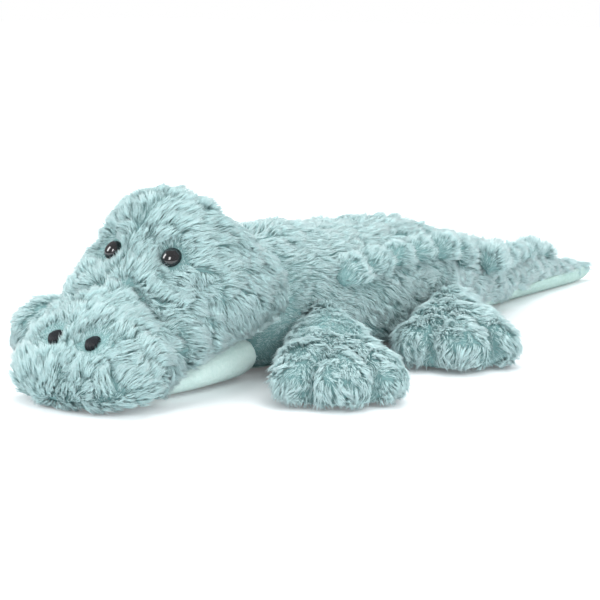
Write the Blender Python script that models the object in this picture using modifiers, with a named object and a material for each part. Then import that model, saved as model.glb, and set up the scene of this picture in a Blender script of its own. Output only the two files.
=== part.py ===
"""Plush crocodile lying flat on its belly, as the sewn and stuffed pieces it is made of.

Metres, +Z up. The nose points to -Y, the toy's left is +X, and the floor is z = 0.
Every soft form is a lathe-like cage of rings that swells and tapers along its length.
A cover is a form with the room for its stuffing taken out, and the head, legs and tail
are cut by the torso, which they turn against at their sewn seams.
"""

from math import atan2, ceil, cos, exp, pi, radians, sin

import bmesh
import bpy
from mathutils import Matrix, Vector
from mathutils.bvhtree import BVHTree

# Overall length, and the cloth
HALF_LENGTH = 0.290
PILE_WALL = 0.0040        # fur cloth with its pile pressed flat
NAP_WALL = 0.0025         # short mint cloth of the jaw
FILL_GAP = 0.0005         # between the cloth and its stuffing
GAP = 0.0003              # between pieces that touch
RUNNING_GAP = 0.0005      # between pieces that turn on each other
JAW_NECK_GAP = 0.0012     # between the jaw's pad and the neck that it turns past
FLAT_DEPTH = 0.0005       # how far a resting form is pressed flat by the floor
OVERRUN = 0.020           # how far a cutter runs past what it cuts

# Torso
SHOULDER_HALF_WIDTH = 0.061
BACK_HEIGHT = 0.0725
NECK_Y = -0.128
NECK_RADIUS = 0.047
NECK_TOP = 0.068
RUMP_Y = 0.060
RUMP_RADIUS = 0.037
RUMP_TOP = 0.054
DRUM_FOOT = 0.001
DRUM_WIDEST_SHARE = 0.40
DRUM_FULLNESS = 2.7
BELLY_SEAM = 0.0050

# Head
CHEEK_HALF_WIDTH = 0.0570
DOME_HEIGHT = 0.110
RIM_TOP_Z = 0.077
RIM_CHEEK_Z = 0.030

# Lower jaw
JAW_HALF_WIDTH = 0.044
JAW_HEIGHT = 0.034

# Eyes and nostrils
EYE_RADIUS = 0.0060
EYE_HEIGHT = 0.0044
EYE_SINK = 0.0008
EYE_X = 0.0225
EYE_Z = 0.077
STEM_RADIUS = 0.0020
STEM_LENGTH = 0.0110
WASHER_RADIUS = 0.0080
WASHER_THICKNESS = 0.0012
EYE_RIM = 0.0004
NOSTRIL_X = 0.0125
NOSTRIL_Z = 0.0380
NOSTRIL_HALF_WIDTH = 0.0038
NOSTRIL_HALF_HEIGHT = 0.0046
NOSTRIL_THICKNESS = 0.0014

# Legs
FRONT_LEG_X = 0.050
FRONT_LEG_Y = -0.112
FRONT_LEG_LENGTH = 0.103
REAR_LEG_X = 0.046
REAR_LEG_Y = 0.008
REAR_LEG_LENGTH = 0.104
LEG_SPLAY = radians(45.0)
HIP_RADIUS = 0.0165
HIP_Z = 0.0225
LEG_HALF_WIDTH = 0.0260
LEG_HEIGHT = 0.0350
PAW_HALF_WIDTH = 0.0365
PAW_HEIGHT = 0.0300
TURNING_HOLE_RADIUS = 0.0060
TOES = 3
TOE_REACH = 0.0060

# Tail
TAIL_HALF_WIDTH = 0.0465
TAIL_HEIGHT = 0.059
TAIL_SEAM = 0.0085

# Rows of scutes down the back
SCUTE_HALF_WIDTH = 0.0080
SCUTE_HEIGHT = 0.0100
SCUTE_LENGTH = 0.0260

# How far each leg's sewn seam lets it turn
REAR_LEG_TURN = radians(12.0)
FRONT_LEG_TURN = radians(15.0)

# Mesh fineness
RING_SIDES = 12
TAIL_SIDES = 8
DRUM_STEPS = 32
DRUM_ROOM_STEPS = 16
DRUM_RINGS = 8
DRUM_FACET_TURN = radians(2.5)   # keeps the drums' facets off the toy's middle plane
BALL_STEPS = 16
STEM_STEPS = 16
DOME_STEPS = 5
SCUTE_SIDES = 6
RINGS_PER_SCUTE = 4
HIP_TURN_STEPS = 2

# Colours of the cloth, the eyes and the thread
FUR_COLOUR = (0.39, 0.60, 0.62, 1.0)
MINT_COLOUR = (0.53, 0.71, 0.66, 1.0)
BLACK_COLOUR = (0.01, 0.01, 0.012, 1.0)
THREAD_COLOUR = (0.03, 0.035, 0.04, 1.0)
FILL_COLOUR = (0.85, 0.85, 0.83, 1.0)
CLEAR_COLOUR = (0.75, 0.76, 0.76, 1.0)

# Places along the head are shares of the way from the neck to the nose, along the torso from the
# neck to the rump, and along the tail from the rump to the tail's tip.

# Head rings: place, half width of cheek, low, widest and high of dome height, fullness, nostril bulge
HEAD_SHARES = (
    (0.928, 0.56, 0.030, 0.15, 0.23, 2.3, 0.00),
    (0.877, 0.81, 0.000, 0.18, 0.33, 2.4, 0.03),
    (0.797, 0.89, 0.000, 0.20, 0.42, 2.5, 0.05),
    (0.715, 0.87, 0.005, 0.23, 0.45, 2.4, 0.03),
    (0.624, 0.84, 0.050, 0.27, 0.50, 2.3, 0.00),
    (0.535, 0.87, 0.110, 0.32, 0.69, 2.2, 0.00),
    (0.454, 0.95, 0.160, 0.37, 0.95, 2.1, 0.00),
    (0.356, 1.00, 0.200, 0.40, 1.00, 2.1, 0.00),
    (0.239, 1.02, 0.240, 0.42, 0.92, 2.1, 0.00),
    (0.123, 1.00, 0.280, 0.45, 0.80, 2.1, 0.00),
    (-0.002, 0.88, 0.330, 0.48, 0.71, 2.1, 0.00),
    (-0.092, 0.60, 0.440, 0.55, 0.69, 2.0, 0.00),
)
HEAD_TIP_SHARES = ((0.964, 0.16), (-0.148, 0.61))
# Where the head's cover ends over the neck, at its top and at the cheeks
RIM_SHARES = (-0.123, 0.130)

# Where the jaw pad starts and ends along the head
JAW_END_SHARES = (0.827, 0.074)
# Jaw rings: share of the way back, half width, low, widest and high of jaw height, fullness
JAW_SHARES = (
    (0.05, 0.42, 0.00, 0.10, 0.20, 2.2),
    (0.22, 0.78, 0.00, 0.22, 0.46, 2.4),
    (0.42, 0.95, 0.00, 0.32, 0.70, 2.5),
    (0.62, 1.00, 0.00, 0.42, 0.90, 2.6),
    (0.80, 0.99, 0.00, 0.48, 1.00, 2.6),
    (0.94, 0.86, 0.06, 0.48, 0.96, 2.5),
)
JAW_TIP_SHARES = ((0.0, 0.08), (1.0, 0.50))

# Torso rings: place, shoulder half width, low, widest and high of back height, fullness
TORSO_SHARES = (
    (-0.067, 0.50, 0.10, 0.42, 0.80, 2.2),
    (0.033, 0.74, 0.00, 0.40, 0.90, 2.5),
    (0.149, 0.88, 0.00, 0.40, 0.96, 2.6),
    (0.311, 0.98, 0.00, 0.40, 1.00, 2.6),
    (0.496, 1.00, 0.00, 0.40, 1.00, 2.6),
    (0.681, 0.98, 0.00, 0.40, 0.99, 2.6),
    (0.820, 0.92, 0.00, 0.39, 0.96, 2.6),
    (0.920, 0.80, 0.00, 0.38, 0.92, 2.5),
    (0.989, 0.48, 0.03, 0.38, 0.70, 2.3),
)
TORSO_TIP_SHARES = ((-0.125, 0.45), (1.049, 0.45))

# Tail rings: place, tail half width, low, widest and high of tail height, fullness
TAIL_SHARES = (
    (-0.097, 0.66, 0.06, 0.44, 0.84, 2.2),
    (-0.040, 0.98, 0.00, 0.40, 0.98, 2.5),
    (0.042, 1.00, 0.00, 0.37, 0.98, 2.5),
    (0.136, 0.88, 0.00, 0.34, 0.90, 2.4),
    (0.243, 0.71, 0.00, 0.31, 0.78, 2.3),
    (0.357, 0.56, 0.00, 0.28, 0.67, 2.3),
    (0.483, 0.44, 0.00, 0.25, 0.58, 2.2),
    (0.622, 0.335, 0.00, 0.20, 0.46, 2.2),
    (0.754, 0.255, 0.00, 0.16, 0.36, 2.1),
    (0.868, 0.185, 0.00, 0.12, 0.26, 2.1),
    (0.950, 0.125, 0.01, 0.10, 0.18, 2.0),
)
TAIL_TIP_SHARES = ((-0.121, 0.45), (1.0, 0.09))
# Where the tail's cover starts
TAIL_ROOT_SHARE = 0.009

# Leg rings: share of the length, leg to paw blend, width share of that, low, widest and high, fullness
LEG_SHARES = (
    (0.96, 1.0, 0.62, 0.10, 0.42, 0.72, 2.1),
    (0.86, 1.0, 0.95, 0.00, 0.42, 0.93, 2.4),
    (0.72, 1.0, 1.00, 0.00, 0.44, 1.00, 2.5),
    (0.56, 0.5, 1.00, 0.00, 0.46, 1.02, 2.4),
    (0.38, 0.1, 1.00, 0.00, 0.50, 1.06, 2.3),
    (0.20, 0.0, 0.96, 0.06, 0.56, 1.10, 2.3),
    (0.05, 0.0, 0.62, 0.30, 0.66, 1.06, 2.1),
)
LEG_TIP_SHARES = (0.42, 0.70)
LEG_BACK_SHARE = 0.00
LEG_ROOM_RINGS = 5
LEG_ROOM_BACK_SHARE = 0.27

# Where the scute rows start and end, on the torso and on the tail
BACK_RIDGE_SHARES = (0.165, 0.926)
TAIL_RIDGE_SHARES = (0.061, 0.522)
CREST_SHARES = (0.550, 0.890)
# Lines of the scute rows: place, and x as a share of the shoulder's or the tail's half width
BACK_LINE_SHARES = ((0.150, 0.80), (0.370, 0.82), (0.680, 0.80), (0.930, 0.72))
TAIL_LINE_SHARES = ((0.060, 0.86), (0.190, 0.66), (0.310, 0.45), (0.420, 0.27), (0.550, 0.19))
# Where the nostril bulges stand across the muzzle, and how wide they are
BULGE_PLACE_SHARE = 0.48
BULGE_WIDTH_SHARE = 0.24
# How far a scute row sits sunk into the cloth it is sewn on, and how low it dips between scutes
SCUTE_SUNK_SHARE = 0.25
SCUTE_DIP_SHARE = 0.35
SCUTE_WAIST_SHARE = 0.70
SCUTE_ROUND_SHARE = 0.70
# How much each row's scutes shrink from its first to its last
SCUTE_SHRINK_SHARES = (0.0, 0.35, 0.62)
# What one level of subdivision draws the pole of a cage in by, in rings
POLE_SHARE = 5.0 / 3.0


def clear_scene():
    """Remove every object that the file opened with."""
    for obj in list(bpy.data.objects):
        bpy.data.objects.remove(obj, do_unlink=True)


def make_collection(name):
    """A collection linked to the scene."""
    group = bpy.data.collections.new(name)
    bpy.context.scene.collection.children.link(group)
    return group


def make_material(name, colour, roughness):
    """A plain Principled finish for one kind of cloth, plastic or thread."""
    material = bpy.data.materials.new(name)
    material.use_nodes = True
    shader = material.node_tree.nodes["Principled BSDF"]
    shader.inputs["Base Color"].default_value = colour
    shader.inputs["Roughness"].default_value = roughness
    shader.inputs["Metallic"].default_value = 0.0
    material.diffuse_color = colour
    return material


def make_piece(name, mesh, material):
    """A named sub-part of the toy."""
    obj = bpy.data.objects.new(name, mesh)
    mesh.materials.append(material)
    PIECES.objects.link(obj)
    return obj


def make_cutter(name, mesh):
    """A solid that only cuts or joins others, shown as wire and left out of the toy."""
    obj = bpy.data.objects.new(name, mesh)
    CUTTERS.objects.link(obj)
    obj.hide_render = True
    obj.display_type = "WIRE"
    return obj


def add_boolean(obj, operation, other):
    """Cut or join one solid with another."""
    step = obj.modifiers.new(operation.title() + " " + other.name, "BOOLEAN")
    step.operation = operation
    step.object = other
    step.solver = "EXACT"


def cut(obj, *others):
    """Take other solids out of one."""
    for other in others:
        add_boolean(obj, "DIFFERENCE", other)


def unite(obj, *others):
    """Add other solids to one."""
    for other in others:
        add_boolean(obj, "UNION", other)


def power(value, fullness):
    """Round a circle's coordinate towards a fuller, squarer section."""
    return (1.0 if value >= 0.0 else -1.0) * abs(value) ** (2.0 / fullness)


def cage_mesh(name, rings, tips, smooth, sides=RING_SIDES):
    """Place a sphere's rings along Y, as (y, half width, low, widest, high, fullness, bulge).

    The first and last tip are (y, z). A cage that will be smoothed is drawn larger, by what
    one level of subdivision takes off its rings and its tips.
    """
    swell = 1.0 / cos(pi / sides) if smooth else 1.0
    push = POLE_SHARE / (sides - POLE_SHARE) if smooth else 0.0
    bm = bmesh.new()
    bmesh.ops.create_uvsphere(bm, u_segments=sides, v_segments=len(rings) + 1, radius=1.0)
    by_height = sorted({round(v.co.z, 4) for v in bm.verts}, reverse=True)
    for v in bm.verts:
        index = by_height.index(round(v.co.z, 4)) - 1
        if index < 0:
            y, z = tips[0]
            v.co = Vector((0.0, y + push * (y - rings[0][0]), z))
        elif index >= len(rings):
            y, z = tips[1]
            v.co = Vector((0.0, y + push * (y - rings[-1][0]), z))
        else:
            y, half, low, widest, high, fullness, bulge = rings[index]
            turn = atan2(v.co.y, v.co.x)
            across = power(cos(turn), fullness)
            up = power(sin(turn), fullness)
            reach = (high if up >= 0.0 else low) - widest
            place = (abs(across) - BULGE_PLACE_SHARE) / BULGE_WIDTH_SHARE
            lift = bulge * exp(-place * place) if up > 0.0 else 0.0
            v.co = Vector((across * half * swell, y, widest + abs(up) * reach * swell + lift))
    if not smooth:
        bmesh.ops.triangulate(bm, faces=bm.faces[:])
    mesh = bpy.data.meshes.new(name)
    bm.to_mesh(mesh)
    bm.free()
    return mesh


def soften(obj, offset=0.0, smooth=True):
    """Subdivide a cage once, and move its skin out or in by an offset."""
    if smooth:
        step = obj.modifiers.new("Stuffed round", "SUBSURF")
        step.levels = 1
        step.render_levels = 1
    if offset:
        push = obj.modifiers.new("Cloth offset", "DISPLACE")
        push.strength = offset
        push.mid_level = 0.0


def box_cutter(name, low, high):
    """A box between two corners."""
    bm = bmesh.new()
    bmesh.ops.create_cube(bm, size=1.0)
    for v in bm.verts:
        v.co = Vector([(a + b) / 2.0 + c * (b - a) for a, b, c in zip(low, high, v.co)])
    mesh = bpy.data.meshes.new(name)
    bm.to_mesh(mesh)
    bm.free()
    return make_cutter(name, mesh)


def ball_cutter(name, centre, radius, steps=BALL_STEPS):
    """A sphere about a point."""
    bm = bmesh.new()
    bmesh.ops.create_uvsphere(bm, u_segments=steps, v_segments=steps // 2, radius=radius)
    mesh = bpy.data.meshes.new(name)
    bm.to_mesh(mesh)
    bm.free()
    obj = make_cutter(name, mesh)
    obj.location = centre
    return obj


def turned_mesh(name, profile, closed=False):
    """The mesh of a profile of (radius, height) points, which the Screw modifier turns about Z."""
    bm = bmesh.new()
    verts = [bm.verts.new((radius, 0.0, height)) for radius, height in profile]
    for first, second in zip(verts, verts[1:]):
        bm.edges.new((first, second))
    if closed:
        bm.edges.new((verts[-1], verts[0]))
    mesh = bpy.data.meshes.new(name)
    bm.to_mesh(mesh)
    bm.free()
    return mesh


def turn_profile(obj, steps):
    """Turn an object's profile about its own Z axis."""
    screw = obj.modifiers.new("Turned", "SCREW")
    screw.steps = steps
    screw.render_steps = steps
    screw.use_merge_vertices = True
    screw.merge_threshold = GAP / 10.0


def drum_profile(radius, foot, widest, top):
    """A barrel with the torso's own rounded section, from its top down its outer side to its foot."""
    points = [(0.0, top)]
    for step in range(1, DRUM_RINGS):
        turn = pi / 2.0 - pi * step / DRUM_RINGS
        reach = (top if turn >= 0.0 else foot) - widest
        points.append((radius * power(cos(turn), DRUM_FULLNESS),
                       widest + abs(power(sin(turn), DRUM_FULLNESS)) * reach))
    points.append((0.0, foot))
    return points


def drum_cutter(name, y, radius, top, grow, steps=DRUM_STEPS):
    """The rounded end of the torso that a neighbour turns about, grown by a clearance."""
    profile = drum_profile(radius + grow, DRUM_FOOT - grow, top * DRUM_WIDEST_SHARE, top + grow)
    obj = make_cutter(name, turned_mesh(name, profile))
    obj.location = (0.0, y, 0.0)
    obj.rotation_euler = (0.0, 0.0, DRUM_FACET_TURN)
    turn_profile(obj, steps)
    return obj


def realise(obj):
    """The evaluated mesh of an object, in world space."""
    bpy.context.view_layer.update()
    graph = bpy.context.evaluated_depsgraph_get()
    mesh = bpy.data.meshes.new_from_object(obj.evaluated_get(graph), depsgraph=graph)
    mesh.transform(obj.matrix_world)
    return mesh


def surface_tree(obj):
    """A search tree over an object's evaluated surface."""
    mesh = realise(obj)
    bm = bmesh.new()
    bm.from_mesh(mesh)
    tree = BVHTree.FromBMesh(bm)
    bm.free()
    bpy.data.meshes.remove(mesh)
    return tree


def place_between(start, end, share):
    """A place along the toy, as a share of the way between two others."""
    return start + share * (end - start)


def scaled_rings(shares, start, end, half, height):
    """Rings in metres from a table of shares, with the lowest pressed just under the floor."""
    rings = []
    for row in shares:
        place, width, low, widest, high, fullness = row[:6]
        bulge = row[6] * height if len(row) > 6 else 0.0
        foot = low * height if low > 0.0 else -FLAT_DEPTH
        y = place_between(start, end, place)
        rings.append((y, width * half, foot, widest * height, high * height, fullness, bulge))
    return rings


def scaled_tips(shares, start, end, height):
    """The two tips of a form in metres, as (y, z)."""
    return [(place_between(start, end, place), high * height) for place, high in shares]


def head_rings():
    """Rings of the head: a broad muzzle, then a high dome over full cheeks."""
    return scaled_rings(HEAD_SHARES, NECK_Y, -HALF_LENGTH, CHEEK_HALF_WIDTH, DOME_HEIGHT)


def head_tips():
    """The nose end and the crown end of the head."""
    return scaled_tips(HEAD_TIP_SHARES, NECK_Y, -HALF_LENGTH, DOME_HEIGHT)


def jaw_ends():
    """Where the jaw pad starts behind the nose and ends under the cheeks."""
    return [place_between(NECK_Y, -HALF_LENGTH, share) for share in JAW_END_SHARES]


def jaw_rings():
    """Rings of the flat mint pad under the muzzle and cheeks."""
    return scaled_rings(JAW_SHARES, *jaw_ends(), JAW_HALF_WIDTH, JAW_HEIGHT)


def jaw_tips():
    """The front and back end of the jaw pad."""
    return scaled_tips(JAW_TIP_SHARES, *jaw_ends(), JAW_HEIGHT)


def torso_rings():
    """Rings of the torso, broad over the shoulders."""
    return scaled_rings(TORSO_SHARES, NECK_Y, RUMP_Y, SHOULDER_HALF_WIDTH, BACK_HEIGHT)


def torso_tips():
    """The ends of the torso's loft, inside the drums at the neck and the rump."""
    return scaled_tips(TORSO_TIP_SHARES, NECK_Y, RUMP_Y, BACK_HEIGHT)


def tail_rings():
    """Rings of the tail, from inside the torso to the tip."""
    return scaled_rings(TAIL_SHARES, RUMP_Y, HALF_LENGTH, TAIL_HALF_WIDTH, TAIL_HEIGHT)


def tail_tips():
    """The root and the tip of the tail."""
    return scaled_tips(TAIL_TIP_SHARES, RUMP_Y, HALF_LENGTH, TAIL_HEIGHT)


def leg_rings(length):
    """Rings of a leg lying along -Y from its hip at the origin, widening into the paw."""
    rings = []
    for along, paw, width, low, widest, high, fullness in LEG_SHARES:
        half = LEG_HALF_WIDTH + paw * (PAW_HALF_WIDTH - LEG_HALF_WIDTH)
        height = LEG_HEIGHT + paw * (PAW_HEIGHT - LEG_HEIGHT)
        foot = low * height if low > 0.0 else -FLAT_DEPTH
        rings.append((-along * length, width * half, foot, widest * height, high * height, fullness, 0.0))
    return rings


def leg_tips(length):
    """The toe end and the hip end of a leg."""
    first, last = LEG_TIP_SHARES
    return ((-length, first * PAW_HEIGHT), (-LEG_BACK_SHARE * length, last * LEG_HEIGHT))


def press_toes(obj_mesh, length):
    """Swell the end of a paw into rounded toes, with a crease between each two."""
    middle = -length + PAW_HALF_WIDTH
    for v in obj_mesh.vertices:
        ahead = middle - v.co.y
        if ahead <= 0.0:
            continue
        turn = atan2(v.co.x, ahead)
        lobe = abs(cos(turn * TOES)) * (ahead / PAW_HALF_WIDTH)
        out = Vector((v.co.x, -ahead, 0.0)).normalized()
        v.co += out * lobe * TOE_REACH


def place_leg(obj, x, y):
    """Set a left leg's hip on its seam, splayed outwards and forwards."""
    obj.location = (x, y, 0.0)
    obj.rotation_euler = (0.0, 0.0, LEG_SPLAY)


def turned_copies(name, mesh, pivot, first, last, steps):
    """Copies of a solid turned about a vertical axis, the other way from the piece that moves."""
    copies = []
    for step in range(steps + 1):
        turn = first + (last - first) * step / steps
        obj = make_cutter(f"{name} {step}", mesh)
        there = Matrix.Translation(pivot)
        obj.matrix_world = there @ Matrix.Rotation(-turn, 4, "Z") @ there.inverted()
        copies.append(obj)
    return copies


def torso_loft(name, offset=0.0, smooth=True):
    """The torso's swelling form without its rounded ends."""
    obj = make_cutter(name, cage_mesh(name, torso_rings(), torso_tips(), smooth))
    soften(obj, offset, smooth)
    return obj


def left_legs():
    """Each left leg as (name, x, y, length, first turn, last turn)."""
    return (
        ("front_leg", FRONT_LEG_X, FRONT_LEG_Y, FRONT_LEG_LENGTH, 0.0, FRONT_LEG_TURN),
        ("rear_leg", REAR_LEG_X, REAR_LEG_Y, REAR_LEG_LENGTH, -REAR_LEG_TURN, REAR_LEG_TURN),
    )


def build_torso(cloth, mint, fill, floor):
    """The torso's cover, belly panel and stuffing."""
    sockets = []
    for word, x, y, *_ in left_legs():
        for side in (1.0, -1.0):
            hip = Vector((side * x, y, HIP_Z))
            sockets.append(ball_cutter(f"{word} socket", hip, HIP_RADIUS + RUNNING_GAP))
    room = torso_loft("torso room", -PILE_WALL, smooth=False)
    for role, y, radius, top in (("neck", NECK_Y, NECK_RADIUS, NECK_TOP),
                                 ("rump", RUMP_Y, RUMP_RADIUS, RUMP_TOP)):
        unite(room, drum_cutter(f"{role} room", y, radius, top, -PILE_WALL, DRUM_ROOM_STEPS))
    neck = drum_cutter("neck drum", NECK_Y, NECK_RADIUS, NECK_TOP, 0.0)
    rump = drum_cutter("rump drum", RUMP_Y, RUMP_RADIUS, RUMP_TOP, 0.0)
    wide = SHOULDER_HALF_WIDTH + OVERRUN
    under = box_cutter("under belly seam", (-wide, -HALF_LENGTH, -OVERRUN), (wide, HALF_LENGTH, BELLY_SEAM))
    over = box_cutter("over belly seam", (-wide, -HALF_LENGTH, BELLY_SEAM - GAP),
                      (wide, HALF_LENGTH, BACK_HEIGHT + OVERRUN))
    for name, material in (("body_cover", cloth), ("belly_panel", mint)):
        obj = make_piece(name, cage_mesh(name, torso_rings(), torso_tips(), True), material)
        soften(obj)
        unite(obj, neck, rump)
        cut(obj, room)
        if name == "body_cover":
            cut(obj, under, *sockets)
        else:
            cut(obj, floor, over)
    cage = cage_mesh("body_stuffing", torso_rings(), torso_tips(), False)
    stuffing = make_piece("body_stuffing", cage, fill)
    soften(stuffing, -PILE_WALL - FILL_GAP, smooth=False)
    for role, y, radius, top in (("neck", NECK_Y, NECK_RADIUS, NECK_TOP),
                                 ("rump", RUMP_Y, RUMP_RADIUS, RUMP_TOP)):
        unite(stuffing, drum_cutter(f"{role} fill", y, radius, top, -PILE_WALL - FILL_GAP, DRUM_ROOM_STEPS))
    cut(stuffing, *sockets)


def torso_space():
    """The torso and its neck end with a gap round them, which the legs are cut by."""
    space = torso_loft("torso space", RUNNING_GAP)
    unite(space, drum_cutter("neck space", NECK_Y, NECK_RADIUS, NECK_TOP, RUNNING_GAP))
    return realise(space)


def build_legs(cloth, fill, floor):
    """Four legs: a cover that ends in a hip ball, and the stuffing in it."""
    space = torso_space()
    for word, x, y, length, first, last in left_legs():
        centre = Vector((x, y, HIP_Z))
        clear = turned_copies(f"{word} clearance", space, centre, first, last, HIP_TURN_STEPS)
        rings = leg_rings(length)
        tips = leg_tips(length)
        room_rings = rings[:LEG_ROOM_RINGS]
        room_tips = (tips[0], (-LEG_ROOM_BACK_SHARE * length, HIP_Z))
        room = make_cutter(f"{word} room", cage_mesh(f"{word} room", room_rings, room_tips, False))
        soften(room, -PILE_WALL, smooth=False)
        place_leg(room, x, y)
        ball = ball_cutter(f"{word} hip", centre, HIP_RADIUS)
        hole = make_cutter(f"{word} turning hole", turned_mesh(
            f"{word} turning hole",
            [(0.0, HIP_RADIUS + OVERRUN), (TURNING_HOLE_RADIUS, HIP_RADIUS + OVERRUN),
             (TURNING_HOLE_RADIUS, -HIP_RADIUS - OVERRUN), (0.0, -HIP_RADIUS - OVERRUN)]))
        turn_profile(hole, STEM_STEPS)
        hole.location = centre
        hole.rotation_euler = (-pi / 2.0, 0.0, LEG_SPLAY)
        cover = make_piece(f"left_{word}_cover", cage_mesh(f"{word} cover", rings, tips, True), cloth)
        soften(cover)
        bpy.context.view_layer.update()
        cover.data = toed_mesh(cover, length)
        cover.modifiers.clear()
        place_leg(cover, x, y)
        cut(cover, *clear)
        unite(cover, ball)
        cut(cover, room, hole, floor)
        stuffing = make_piece(f"left_{word}_stuffing",
                              cage_mesh(f"{word} stuffing", room_rings, room_tips, False), fill)
        soften(stuffing, -PILE_WALL - FILL_GAP, smooth=False)
        place_leg(stuffing, x, y)
        cut(stuffing, *clear)
        mirrored(cover, f"right_{word}_cover")
        mirrored(stuffing, f"right_{word}_stuffing")


def toed_mesh(obj, length):
    """A leg's smoothed mesh with its toes swollen out, at the hip's own origin."""
    graph = bpy.context.evaluated_depsgraph_get()
    mesh = bpy.data.meshes.new_from_object(obj.evaluated_get(graph), depsgraph=graph)
    press_toes(mesh, length)
    return mesh


def rim_cutter():
    """Everything behind the slanting rim where the head's cover ends over the neck."""
    top, cheek = [place_between(NECK_Y, -HALF_LENGTH, share) for share in RIM_SHARES]
    slope = atan2(top - cheek, RIM_TOP_Z - RIM_CHEEK_Z)
    deep = DOME_HEIGHT + OVERRUN
    wide = CHEEK_HALF_WIDTH + OVERRUN
    obj = box_cutter("behind head rim", (-wide, 0.0, -deep), (wide, deep, deep))
    obj.location = (0.0, top, RIM_TOP_Z)
    obj.rotation_euler = (-slope, 0.0, 0.0)
    return obj


def build_head(cloth, mint, fill, floor):
    """The head's cover and stuffing, and the jaw pad with its own."""
    cup = drum_cutter("neck cup", NECK_Y, NECK_RADIUS, NECK_TOP, RUNNING_GAP)
    rim = rim_cutter()
    room = make_cutter("head room", cage_mesh("head room", head_rings(), head_tips(), False))
    soften(room, -PILE_WALL, smooth=False)
    jaw_space = make_cutter("jaw space", cage_mesh("jaw space", jaw_rings(), jaw_tips(), True))
    soften(jaw_space, GAP)
    cover = make_piece("head_cover", cage_mesh("head_cover", head_rings(), head_tips(), True), cloth)
    soften(cover)
    outer = surface_tree(cover)
    cut(cover, room, jaw_space, rim, cup, floor)
    cage = cage_mesh("head_stuffing", head_rings(), head_tips(), False)
    stuffing = make_piece("head_stuffing", cage, fill)
    soften(stuffing, -PILE_WALL - FILL_GAP, smooth=False)
    cut(stuffing, jaw_space, rim, cup)
    jaw_room = make_cutter("jaw room", cage_mesh("jaw room", jaw_rings(), jaw_tips(), False))
    soften(jaw_room, -NAP_WALL, smooth=False)
    jaw = make_piece("lower_jaw_cover", cage_mesh("lower_jaw_cover", jaw_rings(), jaw_tips(), True), mint)
    soften(jaw)
    jaw_cup = drum_cutter("jaw cup", NECK_Y, NECK_RADIUS, NECK_TOP, JAW_NECK_GAP)
    unite(jaw_room, jaw_cup)
    cut(jaw, jaw_room, floor)
    cage = cage_mesh("lower_jaw_stuffing", jaw_rings(), jaw_tips(), False)
    jaw_fill = make_piece("lower_jaw_stuffing", cage, fill)
    soften(jaw_fill, -NAP_WALL - FILL_GAP, smooth=False)
    cut(jaw_fill, jaw_cup)
    return cover, stuffing, outer


def mirrored(obj, name):
    """A right-hand piece: the left one's evaluated mesh, mirrored across the toy's middle."""
    bpy.context.view_layer.update()
    graph = bpy.context.evaluated_depsgraph_get()
    mesh = bpy.data.meshes.new_from_object(obj.evaluated_get(graph), depsgraph=graph)
    mesh.name = name
    mesh.transform(Matrix.Scale(-1.0, 4, (1.0, 0.0, 0.0)))
    mesh.flip_normals()
    copy = bpy.data.objects.new(name, mesh)
    PIECES.objects.link(copy)
    copy.location = (-obj.location.x, obj.location.y, obj.location.z)
    turn = obj.rotation_euler
    copy.rotation_euler = (turn.x, -turn.y, -turn.z)
    return copy


def look_along(obj, point, normal):
    """Stand an object on a surface point, with its Z axis along the surface's normal."""
    obj.location = point
    obj.rotation_euler = normal.to_track_quat("Z", "Y").to_euler()


def eye_profile():
    """A domed eye on its stem, from the crown down the outside to the stem's foot."""
    points = [(0.0, EYE_HEIGHT - EYE_SINK)]
    for step in range(1, DOME_STEPS + 1):
        turn = pi / 2.0 * (1.0 - step / DOME_STEPS)
        points.append((EYE_RADIUS * cos(turn), EYE_HEIGHT * sin(turn) - EYE_SINK))
    points.append((EYE_RADIUS, -EYE_SINK - EYE_RIM))
    points.append((STEM_RADIUS, -EYE_SINK - EYE_RIM))
    points.append((STEM_RADIUS, -STEM_LENGTH))
    points.append((0.0, -STEM_LENGTH))
    return points


def washer_span():
    """The top and foot of the locking washer, just behind the cloth."""
    top = -PILE_WALL - EYE_SINK - WASHER_THICKNESS
    return top, top - WASHER_THICKNESS


def washer_profile():
    """The ring that locks an eye's stem behind the cloth."""
    top, foot = washer_span()
    inner = STEM_RADIUS + GAP
    return [(inner, top), (WASHER_RADIUS, top), (WASHER_RADIUS, foot), (inner, foot)]


def post_profile():
    """The room that an eye, its stem and its washer take up, with a gap all round."""
    top, foot = washer_span()
    points = [(0.0, EYE_HEIGHT + GAP), (EYE_RADIUS + GAP, EYE_HEIGHT + GAP)]
    points.append((EYE_RADIUS + GAP, -EYE_SINK - EYE_RIM - GAP))
    points.append((STEM_RADIUS + GAP, -EYE_SINK - EYE_RIM - GAP))
    points.append((STEM_RADIUS + GAP, top + GAP))
    points.append((WASHER_RADIUS + GAP, top + GAP))
    points.append((WASHER_RADIUS + GAP, foot - GAP))
    points.append((STEM_RADIUS + GAP, foot - GAP))
    points.append((STEM_RADIUS + GAP, -STEM_LENGTH - GAP))
    points.append((0.0, -STEM_LENGTH - GAP))
    return points


def turned_on(name, profile, closed, point, normal, material=None):
    """A turned shape standing on a point of the cloth, as a piece or as a cutter."""
    mesh = turned_mesh(name, profile, closed)
    obj = make_piece(name, mesh, material) if material else make_cutter(name, mesh)
    look_along(obj, point, normal)
    turn_profile(obj, STEM_STEPS)
    return obj


def face_point(outer, x, z):
    """Where a line from ahead meets the head's cloth, and which way the cloth faces there."""
    start = Vector((x, -HALF_LENGTH - OVERRUN, z))
    point, normal, *_ = outer.ray_cast(start, Vector((0.0, 1.0, 0.0)))
    return point, normal


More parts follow.
